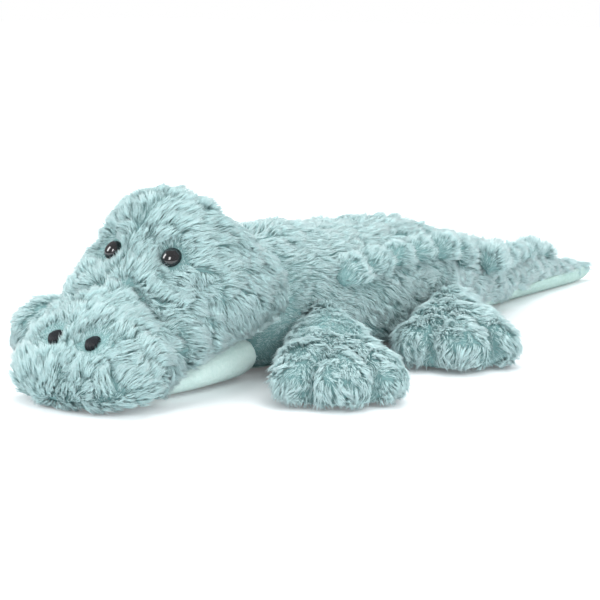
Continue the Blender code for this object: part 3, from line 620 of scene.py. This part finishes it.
def aimed(name, data, place, aim):
    # an object that looks at its aim from an azimuth, an elevation and a distance
    a, e = radians(place["azimuth"]), radians(place["elevation"])
    out = Vector((sin(a) * cos(e), -cos(a) * cos(e), sin(e)))
    made = bpy.data.objects.new(name, data)
    made.location = Vector(aim) + out * place["distance"]
    made.rotation_euler = (-out).to_track_quat("-Z", "Y").to_euler()
    scene.collection.objects.link(made)
    return made


def makeCamera():
    data = bpy.data.cameras.new("camera")
    data.lens = view["lens"]
    data.sensor_width = view["film"]
    scene.camera = aimed("camera", data, view, view["aim"])


def makeLights():
    for name, box in lights.items():
        data = bpy.data.lights.new(name, "AREA")
        data.shape = "RECTANGLE"
        data.size, data.size_y = box["size"]
        data.energy = box["power"]
        lamp = aimed(name, data, box, studio["aim"])
        lamp.visible_glossy = name in studio["inEyes"]  # the others would grey the eyes


def makeWorld():
    # white behind the toy, and a softer light from all round
    world = bpy.data.worlds.new("studio")
    scene.world = world
    world.use_nodes = True
    nodes, links = world.node_tree.nodes, world.node_tree.links
    path = nodes.new("ShaderNodeLightPath")
    strength = nodes.new("ShaderNodeMapRange")
    strength.inputs["To Min"].default_value = studio["world"]
    strength.inputs["To Max"].default_value = 1.0
    links.new(path.outputs["Is Camera Ray"], strength.inputs["Value"])
    links.new(strength.outputs[0], nodes["Background"].inputs["Strength"])
    nodes["Background"].inputs["Color"].default_value = white


floorLook = {"half": 6.0, "below": 0.3 * mm, "colour": (0.86, 0.90, 0.92, 1.0), "glow": 0.80, "fade": 0.79,
             "scale": 0.8}


def makeFloor():
    bm = bmesh.new()
    bmesh.ops.create_grid(bm, x_segments=1, y_segments=1, size=floorLook["half"])
    bmesh.ops.translate(bm, verts=bm.verts[:], vec=(0.0, 0.0, -floorLook["below"]))
    mesh = meshFrom(bm, "floor")
    floor = bpy.data.objects.new("floor", mesh)
    scene.collection.objects.link(floor)
    look = Finish("paleFloor", Roughness=0.9, Specular_IOR_Level=0.1, Base_Color=floorLook["colour"])
    path = look.node("ShaderNodeLightPath", output="Is Camera Ray")
    # the sweep of the studio floor stays white away from the toy
    spot = look.node("ShaderNodeMapping", {"Vector": look.place(), "Scale": (floorLook["scale"],) * 3})
    away = look.node("ShaderNodeTexGradient", {"Vector": spot}, gradient_type="SPHERICAL", output="Fac")
    strength = path * (floorLook["glow"] - away * floorLook["fade"])
    glow = look.node("ShaderNodeEmission", {"Color": white, "Strength": strength})
    both = look.node("ShaderNodeAddShader", {0: Signal(look.tree, look.shader.outputs[0]), 1: glow})
    look.tree.links.new(both.socket, look.tree.nodes["Material Output"].inputs["Surface"])
    mesh.materials.append(look.material)


makeCamera()
makeLights()
makeWorld()
makeFloor()
scene.view_settings.view_transform = "Standard"
print("stage ready")


# Torso and tail in one skin, because the cloth runs on over the rump
def rowLine(node, aside, sink):
    # the line under a row of scutes, from slices of its solid, moved outwards
    points = pointsOf(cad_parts[node].data)
    side = np.sign(points[:, 0].mean())
    cuts = np.linspace(points[:, 1].min(), points[:, 1].max(), 9)
    line = []
    for low, high in zip(cuts, cuts[1:]):
        slab = points[(points[:, 1] >= low) & (points[:, 1] <= high)]
        line.append((slab[:, 0].mean() + side * aside, (low + high) / 2.0, slab[:, 2].min() + sink))
    return line


rowNames = ("left_back_ridge", "right_back_ridge", "left_tail_ridge", "right_tail_ridge")
rowFeet = [rowLine(name, 7.0 * mm, -1.0 * mm) for name in rowNames]  # where each row meets the flank
rowEdges = [rowLine(name, 4.0 * mm, 0.0) for name in rowNames]
neckSide = [(46, -154, 12), (51, -150, 32), (46, -140, 53), (30, -131, 70)]
neckRing = inMetres([(-x, y, z) for x, y, z in neckSide] + [(0, -127, 76)] + neckSide[::-1])
torso = {
    "nodes": ("body_cover", "body_stuffing", "tail_cover", "tail_stuffing"),
    "standsFor": ("body_cover", "body_stuffing", "tail_cover", "tail_stuffing"),
    "swollen": {"body_stuffing": 1.5 * mm, "tail_stuffing": 1.5 * mm},
    "voxel": 5.0 * mm, "inset": 0.5 * mm, "lumps": 0.9 * mm, "pressure": 3.0, "cap": 2.0 * mm, "fill": 0.6,
    "meltRounds": 26, "floor": 3.0 * mm,
    "creases": [{"path": neckRing, "depth": 4.0 * mm, "width": 7.0 * mm}]
    + [{"path": foot, "depth": 1.6 * mm, "width": 3.0 * mm} for foot in rowFeet],
}
torsoForm = {
    "neckRise": 12.5 * mm, "neckY": -0.110, "neckLength": 0.036, "neckWidth": 0.032,
    "rumpRise": 1.6 * mm, "rumpStart": (-0.01, 0.04), "rumpEnd": (0.12, 0.07), "upperBack": (0.030, 0.055),
    "join": (0.025, 0.105),
}


def torsoProfile(p):
    # the neck stands up along its middle, and the rump is a little fuller
    along, aside = (p[:, 1] - torsoForm["neckY"]) / torsoForm["neckLength"], p[:, 0] / torsoForm["neckWidth"]
    raised = torsoForm["neckRise"] * np.exp(-along ** 2 - aside ** 2)
    raised += (torsoForm["rumpRise"] * smoothStep(*torsoForm["rumpStart"], p[:, 1])
               * smoothStep(*torsoForm["rumpEnd"], p[:, 1]))
    return raised * smoothStep(*torsoForm["upperBack"], p[:, 2])


def tailJoin(p):
    # where the tail's solid runs into the torso's, and the skin is evened out
    return (p[:, 1] > torsoForm["join"][0]) & (p[:, 1] < torsoForm["join"][1])


torso.update(profile=torsoProfile, melt=tailJoin)
torsoSkin = stuffedSkin("torsoSkin", torso, None)
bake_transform(torsoSkin)

mintBand = ((0.060, 0.080, 0.225, 0.265), (0.0, 12.0 * mm, 12.0 * mm, 8.0 * mm))  # its height along the tail
torsoFur = {  # pairs are where a change begins and where it is whole
    "front": -0.155, "underside": -0.80, "halfWidth": 0.05, "outwards": 0.25, "sideFall": 0.75,
    "tailLevel": (0.05, 0.10),
    # the darker values below are painted shade, the paler ones painted light
    "neckFold": {"near": 4.0 * mm, "below": (0.070, 0.050), "shorter": 0.50, "shortTo": 16.0 * mm,
                 "darker": 0.30, "darkTo": 13.0 * mm},
    "chest": {"shorter": 0.66, "ahead": (-0.105, -0.132), "below": (0.050, 0.036)},
    "rowEdge": {"shorter": 0.25, "over": (3.0 * mm, 9.0 * mm)},
    "rowFoot": {"darker": 0.70, "over": (1.0 * mm, 4.0 * mm), "patchy": (0.0, 0.4), "seed": 9,
                "patch": 20.0 * mm},
    "tail": {"shorter": 0.18, "behind": (0.08, 0.20)}, "tip": {"longer": 0.35, "behind": (0.24, 0.27)},
    "paintedLight": 0.12, "flank": {"paintedLight": 0.16, "below": (0.062, 0.045)},
}


def torsoFlow(p):
    # back along the body, and down its sides
    down = -np.abs(p[:, 0]) / torsoFur["halfWidth"] * (1.0 - smoothStep(*torsoFur["tailLevel"], p[:, 1]))
    outwards = np.sign(p[:, 0]) * torsoFur["outwards"]
    return np.stack([outwards, np.ones(len(p)), torsoFur["sideFall"] * down], axis=1)


def upper(p, n):
    # all but the underside, and on the tail all but the low mint band
    above = p[:, 2] > np.interp(p[:, 1], *mintBand)
    return above & (n[:, 2] > torsoFur["underside"]) & (p[:, 1] > torsoFur["front"])


def nearNeck(p, reach):
    # 1 in the fold where the head meets the sides of the neck
    fold = torsoFur["neckFold"]
    near = 1.0 - smoothStep(fold["near"], reach, distanceToPath(p, neckRing))
    return near * smoothStep(*fold["below"], p[:, 2])


def torsoShorten(p):
    # shorter in the neck's fold, on the chest and beside the scutes, and longer at the tail's tip
    fold, chest, edges = torsoFur["neckFold"], torsoFur["chest"], torsoFur["rowEdge"]
    tail, tip = torsoFur["tail"], torsoFur["tip"]
    low = smoothStep(*chest["ahead"], p[:, 1]) * smoothStep(*chest["below"], p[:, 2])
    share = (1.0 - fold["shorter"] * nearNeck(p, fold["shortTo"])) * (1.0 - chest["shorter"] * low)
    for edge in rowEdges:
        share *= 1.0 - edges["shorter"] * (1.0 - smoothStep(*edges["over"], distanceToPath(p, edge)))
    return share * (1.0 - tail["shorter"] * smoothStep(*tail["behind"], p[:, 1])
                    + tip["longer"] * smoothStep(*tip["behind"], p[:, 1]))


def torsoShade(p):
    # painted shade in the neck's fold and in patches under the scutes, and painted light that makes the torso
    # paler, its low flanks most
    fold, feet, flank = torsoFur["neckFold"], torsoFur["rowFoot"], torsoFur["flank"]
    dark = fold["darker"] * nearNeck(p, fold["darkTo"]) - torsoFur["paintedLight"]
    dark -= flank["paintedLight"] * smoothStep(*flank["below"], p[:, 2])
    patches = smoothStep(*feet["patchy"], ripple(p, feet["seed"], feet["patch"]))
    for foot in rowFeet:
        dark += feet["darker"] * (1.0 - smoothStep(*feet["over"], distanceToPath(p, foot))) * patches
    return dark


coat = {"length": 9.5 * mm, "width": 0.19 * mm, "lift": 0.40, "swirl": 0.55, "tuftTurn": 0.11, "gather": 0.23,
        "perTuft": 12, "lockSize": 10.0 * mm, "lockTurn": 0.34, "lockGather": 0.12}
torsoCoat = dict(coat, flow=torsoFlow, shorten=torsoShorten, shade=torsoShade)
# each stretch along the body: where it starts and ends, and how many strands it has
torsoPiles = {
    "backPileFront": (-1.0, -0.045, 29000),
    "backPileMiddle": (-0.045, 0.04, 28000),
    "tailPileRoot": (0.04, 0.13, 24000),
    "tailPileTip": (0.13, 1.0, 17000),
}
for index, (name, (start, end, strands)) in enumerate(torsoPiles.items()):
    def where(p, n, start=start, end=end):
        return upper(p, n) & (p[:, 1] >= start) & (p[:, 1] < end)

    pile = growPile(name, torsoSkin, dict(torsoCoat, strands=strands, where=where), None, 100 + 10 * index)
    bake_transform(pile)

# Head
eyePlaces = [centreOf("left_eye"), centreOf("right_eye")]
eyeGaps = (  # how far the fur keeps from each eye, how short it starts and where it is short
    {"bare": 5.9 * mm, "short": 0.45, "from": 6.0 * mm, "to": 15.0 * mm},
    {"bare": 6.5 * mm, "short": 0.28, "from": 8.0 * mm, "to": 17.5 * mm},
)
nostrilGap = {"bare": 5.6 * mm, "short": 0.22, "from": 6.5 * mm, "to": 16.0 * mm}
nostrilMove = {"apart": 1.6 * mm, "aside": 1.0 * mm, "back": 3.6 * mm, "down": 2.6 * mm}  # from the solids
nostrilPlaces = [
    centreOf(side + "_nostril")
    + (across * nostrilMove["apart"] + nostrilMove["aside"], nostrilMove["back"], -nostrilMove["down"])
    for side, across in (("left", 1.0), ("right", -1.0))]
browFold = inMetres([(6, -227, 59), (16, -231, 55), (25, -235, 51), (35, -236, 47)])
mouthFold = inMetres([(45, -233, 40), (48, -232, 31), (45, -225, 20)])
faceFolds = [[(x * side, y, z) for x, y, z in fold] for fold in (browFold, mouthFold) for side in (1.0, -1.0)]
headRear = {"start": -0.19, "share": 0.70}  # behind its start, the head is this much shorter


def headReshape(p):
    rear = headRear["start"] + (p[:, 1] - headRear["start"]) * headRear["share"]
    return np.stack([p[:, 0], np.where(p[:, 1] > headRear["start"], rear, p[:, 1]), p[:, 2]], axis=1)


muzzleIn = {"by": 1.5 * mm, "lowerBy": -0.7 * mm, "below": (0.018, 0.005), "ahead": (-0.222, -0.245)}


def headProfile(p):
    # the muzzle's front is drawn in, but swells at its lower edge
    low = smoothStep(*muzzleIn["below"], p[:, 2])
    inward = muzzleIn["by"] + (muzzleIn["lowerBy"] - muzzleIn["by"]) * low
    return -inward * smoothStep(*muzzleIn["ahead"], p[:, 1])


head = {
    "nodes": ("head_cover", "head_stuffing"),
    "standsFor": ("head_cover", "head_stuffing", "left_eye_washer", "right_eye_washer"),
    "swollen": {"head_stuffing": 1.5 * mm},
    "voxel": 4.5 * mm, "inset": -1.5 * mm, "lumps": 0.8 * mm, "pressure": 3.0, "cap": 1.5 * mm, "fill": 0.75,
    "reshape": headReshape, "profile": headProfile,
    "seats": [(place, 8.0 * mm, 0.8 * mm) for place in eyePlaces]
    + [(place, 7.0 * mm, 2.0 * mm) for place in nostrilPlaces],
    "swells": [  # a place, how wide it swells there and how far out
        ((0.0, -0.232, 0.058), 22.0 * mm, 5.0 * mm),  # the dip between muzzle and dome
        ((-0.036, -0.225, 0.056), 18.0 * mm, 4.0 * mm),  # that dip's far end
        ((-0.027, -0.208, 0.084), 12.0 * mm, -3.0 * mm),  # about the far eye
        ((-0.011, -0.198, 0.101), 19.0 * mm, 5.0 * mm),  # the brow over both eyes
        ((-0.045, -0.258, 0.035), 18.0 * mm, -6.5 * mm),  # the muzzle's far shoulder
        ((0.048, -0.250, 0.036), 17.0 * mm, -2.5 * mm),  # the muzzle's near shoulder
    ],
    "creases": [{"path": fold, "depth": 6.0 * mm, "width": 3.2 * mm} for fold in faceFolds],
}
headSkin = stuffedSkin("headSkin", head, "head")
foldLines = [snapped(headSkin, fold) for fold in faceFolds]
nostrilPlaces = snapped(headSkin, nostrilPlaces)

headFur = {
    "sides": 0.045, "spread": 0.5, "fall": 0.55, "middleFall": 0.1, "nose": (-0.245, -0.262), "noseRise": 0.9,
    "partReach": 11.0 * mm, "eyeParting": 1.6, "nostrilParting": 2.2,
    # the darker values are painted shade: in the face's folds and over the whole head
    "fold": {"short": 0.40, "over": (1.0 * mm, 6.0 * mm), "darker": 1.30, "darkOver": (0.5 * mm, 2.8 * mm)},
    "jaw": {"short": 0.35, "over": (0.0, 9.0 * mm), "beyond": 3.0 * mm},
    "rear": {"short": 0.62, "over": (-0.135, -0.160), "slope": 0.5, "level": 0.06},
    "darker": 0.25, "underside": -0.85,
}
jawTop = (  # how high the mint pad reaches, from front to back
    (-0.238, -0.220, -0.190, -0.150, -0.120), (-0.010, 0.012, 0.026, 0.032, 0.034))
faceGaps = list(zip(eyePlaces + nostrilPlaces, eyeGaps + (nostrilGap, nostrilGap)))
faceParting = [(eye, headFur["eyeParting"]) for eye in eyePlaces]
faceParting += [(nostril, headFur["nostrilParting"]) for nostril in nostrilPlaces]


def headFlow(p):
    # back from the nose, down the cheeks, and away from the eyes and nostrils
    side = np.clip(p[:, 0] / headFur["sides"], -1.0, 1.0)
    nose = smoothStep(*headFur["nose"], p[:, 1])
    fall = -headFur["fall"] * np.abs(side) - headFur["middleFall"]
    up = fall * (1.0 - nose) + headFur["noseRise"] * nose
    flow = np.stack([side * headFur["spread"], np.ones(len(p)), up], axis=1)
    for place, weight in faceParting:
        near = np.exp(-(distanceTo(p, place) / headFur["partReach"]) ** 2)
        flow += weight * near[:, None] * unit(p - place)
    return flow


def aboveJaw(p):
    # how far a point is above the top of the mint pad
    return p[:, 2] - np.interp(p[:, 1], *jawTop)


def headShorten(p):
    # shorter about the eyes and nostrils, in the folds, over the mint pad and towards the neck
    folds, jaw, rear = headFur["fold"], headFur["jaw"], headFur["rear"]
    share = np.ones(len(p))
    for place, gap in faceGaps:
        away = smoothStep(gap["from"], gap["to"], distanceTo(p, place))
        share *= between(gap["short"], away)
    for fold in foldLines:
        share *= between(folds["short"], smoothStep(*folds["over"], distanceToPath(p, fold)))
    share *= between(jaw["short"], smoothStep(*jaw["over"], aboveJaw(p)))
    ahead = smoothStep(*rear["over"], p[:, 1] + rear["slope"] * (p[:, 2] - rear["level"]))
    return share * between(rear["short"], ahead)


def headShade(p):
    # painted shade: the whole head a little darker, and much darker along the face's folds
    folds = headFur["fold"]
    dark = headFur["darker"] * np.ones(len(p))
    for fold in foldLines:
        dark += folds["darker"] * (1.0 - smoothStep(*folds["darkOver"], distanceToPath(p, fold)))
    return dark


def clearOfFace(p, n):
    # all but the underside, the eyes, the nostrils and the mint pad
    clear = (n[:, 2] > headFur["underside"]) & (aboveJaw(p) > -headFur["jaw"]["beyond"])
    for place, gap in faceGaps:
        clear &= distanceTo(p, place) >= gap["bare"]
    return clear


headCoat = dict(coat, strands=30500, flow=headFlow, shorten=headShorten, shade=headShade)
headPiles = {"muzzlePile": (-1.0, -0.228), "facePile": (-0.228, -0.178), "crownPile": (-0.178, 1.0)}
for index, (name, (start, end)) in enumerate(headPiles.items()):
    def where(p, n, start=start, end=end):
        return clearOfFace(p, n) & (p[:, 1] >= start) & (p[:, 1] < end)

    growPile(name, headSkin, dict(headCoat, where=where), "head", 200 + 10 * index)

# Legs
hips = {"front": (50.0 * mm, -112.0 * mm), "rear": (46.0 * mm, 8.0 * mm)}
splay = radians(45.0)
toes = {
    "centre": 66.0 * mm, "crease": radians(30.0), "depth": 8.0 * mm, "width": 3.8 * mm,
    "fade": (6.0 * mm, 22.0 * mm),
    "spread": {"right_front_leg": 6.0 * mm}, "spreadOver": (70.0 * mm, 95.0 * mm),
    # dark is painted shade in the creases, pale painted light over the whole leg
    "shorter": 0.5, "shortWidth": 3.6 * mm, "dark": 1.3, "darkWidth": 2.2 * mm, "pale": 0.36,
}
cheek = {"shorter": 0.38, "reach": (45.0 * mm, 62.0 * mm), "side": (2.0 * mm, 16.0 * mm)}
legFur = {"halfWidth": 0.03, "spread": 0.45, "down": 0.8, "underside": -0.85}
legCoat = dict(coat, strands=20000, length=9.0 * mm, width=0.23 * mm, lift=0.36, gather=0.32,
               lockSize=7.0 * mm, swirl=0.6, where=lambda p, n: n[:, 2] > legFur["underside"])
legs = [(word + "_" + end + "_leg", end, side)
        for end in ("front", "rear") for word, side in (("left", 1.0), ("right", -1.0))]
for index, (leg, end, side) in enumerate(legs):
    ahead = np.array([side * sin(splay), -cos(splay), 0.0])
    across = np.array([cos(splay), side * sin(splay), 0.0])
    hip = np.array([side * hips[end][0], hips[end][1], 0.0])

    def toeGap(p, width, ahead=ahead, across=across, hip=hip):
        # 1 in the two creases between the toes, fading over the back of the paw
        forward, aside = (p - hip) @ ahead - toes["centre"], (p - hip) @ across
        reach, turn = np.hypot(forward, aside), np.abs(np.arctan2(aside, forward))
        return np.exp(-((turn - toes["crease"]) * reach / width) ** 2) * smoothStep(*toes["fade"], reach)

    def legProfile(p, toeGap=toeGap, ahead=ahead, hip=hip, spread=toes["spread"].get(leg, 0.0)):
        # the far paw reaches further out, and every paw sinks in between its toes
        further = spread * smoothStep(*toes["spreadOver"], (p - hip) @ ahead)
        return further - toes["depth"] * toeGap(p, toes["width"])

    form = {
        "nodes": (leg + "_cover", leg + "_stuffing"),
        "standsFor": (leg + "_cover", leg + "_stuffing"),
        "swollen": {leg + "_stuffing": 1.5 * mm}, "profile": legProfile,
        "voxel": 3.2 * mm, "inset": 0.8 * mm, "lumps": 0.6 * mm, "floor": 1.0 * mm,
        "pressure": 4.0, "cap": 1.5 * mm, "fill": 0.7,
    }
    skin = stuffedSkin(leg + "Skin", form, None)
    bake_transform(skin)

    def legFlow(p, ahead=ahead, hip=hip, across=across):
        # out along the leg, spreading towards its sides, and down
        out = ((p - hip) @ across) / legFur["halfWidth"]
        down = np.array([0.0, 0.0, legFur["down"]])
        return ahead[None, :] + out[:, None] * across * legFur["spread"] - down

    def legShorten(p, toeGap=toeGap, ahead=ahead, hip=hip, most=cheek["shorter"] if end == "front" else 0.0):
        # shorter between the toes, and where a cheek turns past a front leg
        near = 1.0 - smoothStep(*cheek["reach"], (p - hip) @ ahead)
        beside = most * near * smoothStep(*cheek["side"], hip[1] - p[:, 1])
        return (1.0 - toes["shorter"] * toeGap(p, toes["shortWidth"])) * (1.0 - beside)

    def legShade(p, toeGap=toeGap):
        # painted shade in the creases between the toes, and painted light that makes the whole leg paler
        return toes["dark"] * toeGap(p, toes["darkWidth"]) - toes["pale"]

    pile = growPile(leg + "Pile", skin, dict(legCoat, flow=legFlow, shorten=legShorten, shade=legShade), None,
                    300 + 10 * index)
    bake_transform(pile)

# Rows of scutes
ridges = {
    "left_back_ridge": ("torso", 7400), "right_back_ridge": ("torso", 7400),
    "left_tail_ridge": ("tail", 4600), "right_tail_ridge": ("tail", 4600), "tail_crest": ("tail", 2500),
}
scutes = {
    "rise": 3.0 * mm, "fuller": 1.2 * mm, "halfWidth": 5.0 * mm, "cuts": 61, "slice": 3.0 * mm, "ends": 6,
    # dark is painted shade in the dips, pale painted light over the whole row
    "strand": {"torso": 10.5 * mm, "tail": 12.5 * mm}, "short": 0.62, "dark": 0.40, "dip": (-0.8, 0.1),
    "pale": 0.1, "out": 0.2, "back": 0.8, "up": 0.9, "outerLess": 0.6, "underside": -0.75,
}
for index, (node, (body, strands)) in enumerate(ridges.items()):
    solid = pointsOf(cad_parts[node].data)
    cuts = np.linspace(solid[:, 1].min(), solid[:, 1].max(), scutes["cuts"])
    tops = np.array([solid[np.abs(solid[:, 1] - cut) < scutes["slice"], 2].max() for cut in cuts])
    tops -= np.polyval(np.polyfit(cuts, tops, 2), cuts)  # leaves the scutes, without the row's own curve
    tops /= np.abs(tops[scutes["ends"]:-scutes["ends"]]).max()

    def peak(p, cuts=cuts, tops=tops):
        # from -1 in the dips between scutes to 1 on their tops
        return np.clip(np.interp(p[:, 1], cuts, tops), -1.0, 1.0)

    def ridgeProfile(p, peak=peak):
        return scutes["rise"] * peak(p) + scutes["fuller"]

    def ridgeFlow(p, middle=solid[:, 0].mean(), side=np.sign(solid[:, 0].mean())):
        # up and back over each scute, less steeply on its outer side
        out = np.clip((p[:, 0] - middle) / scutes["halfWidth"], -1.0, 1.0) * side
        up = scutes["up"] - scutes["outerLess"] * np.maximum(out, 0.0)
        same = np.ones(len(p))
        return np.stack([side * scutes["out"] * same, scutes["back"] * same, up], axis=1)

    def ridgeShorten(p, peak=peak):
        return between(scutes["short"], peak(p))

    def ridgeShade(p, peak=peak):
        # painted shade in the dips between scutes, and painted light that makes the whole row paler
        return scutes["dark"] * (1.0 - smoothStep(*scutes["dip"], peak(p))) - scutes["pale"]

    form = {
        "nodes": (node,), "standsFor": (node,), "swollen": {}, "profile": ridgeProfile, "floor": 2.0 * mm,
        "voxel": 2.2 * mm, "inset": -0.6 * mm, "lumps": 0.0, "pressure": 2.0, "cap": 1.0 * mm, "fill": 0.5,
    }
    skin = stuffedSkin(node + "Skin", form, body)
    growPile(node + "Pile", skin, dict(
        coat, strands=strands, length=scutes["strand"][body], lift=0.66, lockSize=9.0 * mm, flow=ridgeFlow,
        where=lambda p, n: n[:, 2] > scutes["underside"], shorten=ridgeShorten, shade=ridgeShade),
        body, 400 + 10 * index)


# Mint panels
def mintPanel(name, node, body, stretch):
    # the panel's own solid, stretched to show below the fur
    mesh = nodesMesh(name, (node,), {})
    setPoints(mesh, pointsOf(mesh) * stretch)
    piece = addPiece(name, mesh, mintLook, body)
    mesh.shade_smooth()
    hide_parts(node)


mintPanel("bellyPanel", "belly_panel", "torso", (1.0, 1.0, 1.0))
mintPanel("tailUnderside", "tail_underside", "tail", (1.04, 0.985, 1.45))
jaw = {
    "nodes": ("lower_jaw_cover", "lower_jaw_stuffing"),
    "standsFor": ("lower_jaw_cover", "lower_jaw_stuffing"),
    "swollen": {"lower_jaw_stuffing": 1.5 * mm},
    "voxel": 4.0 * mm, "inset": 0.3 * mm, "lumps": 0.3 * mm, "pressure": 2.0, "cap": 1.0 * mm, "fill": 0.7,
    "floor": 0.0,
}
jawSkin = stuffedSkin("jawPad", jaw, "head")
jawSkin.data.materials.clear()
jawSkin.data.materials.append(mintLook)
print("mint panels ready")

# Eyes: a smooth dome on each stem
def facingOf(node, behind):
    # the way an eye looks, and the top of its dome
    points = pointsOf(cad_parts[node].data)
    way = unit(centreOf(node) - centreOf(behind))
    return way, points[np.argmax(points @ way)]


eyeSize = {"radius": 6.0 * mm, "height": 4.4 * mm, "backShare": 0.28, "stem": 2.0 * mm,
           "stemLength": 9.0 * mm, "stemFrom": 1.2 * mm}
for side in ("left", "right"):
    way, top = facingOf(side + "_eye", side + "_eye_washer")
    base = Vector(top - way * eyeSize["height"])
    turn = Vector(way).to_track_quat("Z", "Y").to_matrix().to_4x4()
    bm = bmesh.new()
    bmesh.ops.create_uvsphere(bm, u_segments=48, v_segments=32, radius=eyeSize["radius"])
    flat = eyeSize["height"] / eyeSize["radius"]
    for v in bm.verts:
        v.co.z *= flat if v.co.z > 0.0 else eyeSize["backShare"]
    stemMiddle = Matrix.Translation((0.0, 0.0, -eyeSize["stemLength"] / 2.0 - eyeSize["stemFrom"]))
    bmesh.ops.create_cone(bm, cap_ends=True, segments=24, radius1=eyeSize["stem"], radius2=eyeSize["stem"],
                          depth=eyeSize["stemLength"], matrix=stemMiddle)
    bmesh.ops.transform(bm, matrix=Matrix.Translation(base) @ turn, verts=bm.verts[:])
    mesh = meshFrom(bm, side + "Eye")
    mesh.shade_smooth()
    eye = addPiece(side + "Eye", mesh, eyeLook, "head")
    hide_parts(side + "_eye")

# Nostrils: rows of satin stitches over an oval
stitch = {"count": 11, "halfWidth": 4.3 * mm, "halfHeight": 5.0 * mm, "rise": 2.3 * mm, "thread": 0.50 * mm,
          "steps": 8, "sides": 6, "stagger": 0.08, "edgeFlat": 0.35, "sink": 0.2 * mm,
          "ahead": np.array([0.0, -1.0, 0.6]), "raise": np.array([0.0, 0.0, 0.25])}
for side, centre in zip(("left", "right"), nostrilPlaces):
    points = pointsOf(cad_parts[side + "_nostril"].data)
    spread = np.linalg.eigh(np.cov((points - points.mean(axis=0)).T))[1]
    way = unit(spread[:, 0] * np.sign(spread[:, 0] @ stitch["ahead"]) + stitch["raise"])
    upright = unit(np.array([0.0, 0.0, 1.0]) - way * way[2])
    across = np.cross(upright, way)
    bm = bmesh.new()
    for row in range(stitch["count"]):
        place = (row + 0.5) / stitch["count"] * 2.0 - 1.0
        reach = stitch["halfHeight"] * (1.0 - place * place) ** 0.5 * (1.0 + stitch["stagger"] * (row % 2))
        rings = []
        for step in range(stitch["steps"] + 1):
            share = step / stitch["steps"] * 2.0 - 1.0
            high = stitch["rise"] * (1.0 - share ** 2) ** 0.5 * (1.0 - stitch["edgeFlat"] * place * place)
            high -= stitch["sink"]
            spot = centre + across * place * stitch["halfWidth"] + upright * share * reach + way * high
            ring = []
            for k in range(stitch["sides"]):
                angle = 2.0 * pi * k / stitch["sides"]
                ring.append(bm.verts.new(spot + (across * cos(angle) + way * sin(angle)) * stitch["thread"]))
            rings.append(ring)
        for near, far in zip(rings, rings[1:]):
            for k in range(stitch["sides"]):
                j = (k + 1) % stitch["sides"]
                bm.faces.new((near[k], near[j], far[j], far[k]))
        bm.faces.new(rings[0])
        bm.faces.new(rings[-1])
    bmesh.ops.recalc_face_normals(bm, faces=bm.faces[:])
    mesh = meshFrom(bm, side + "Nostril")
    mesh.shade_smooth()
    nostril = addPiece(side + "Nostril", mesh, threadLook, "head")
    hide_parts(side + "_nostril")
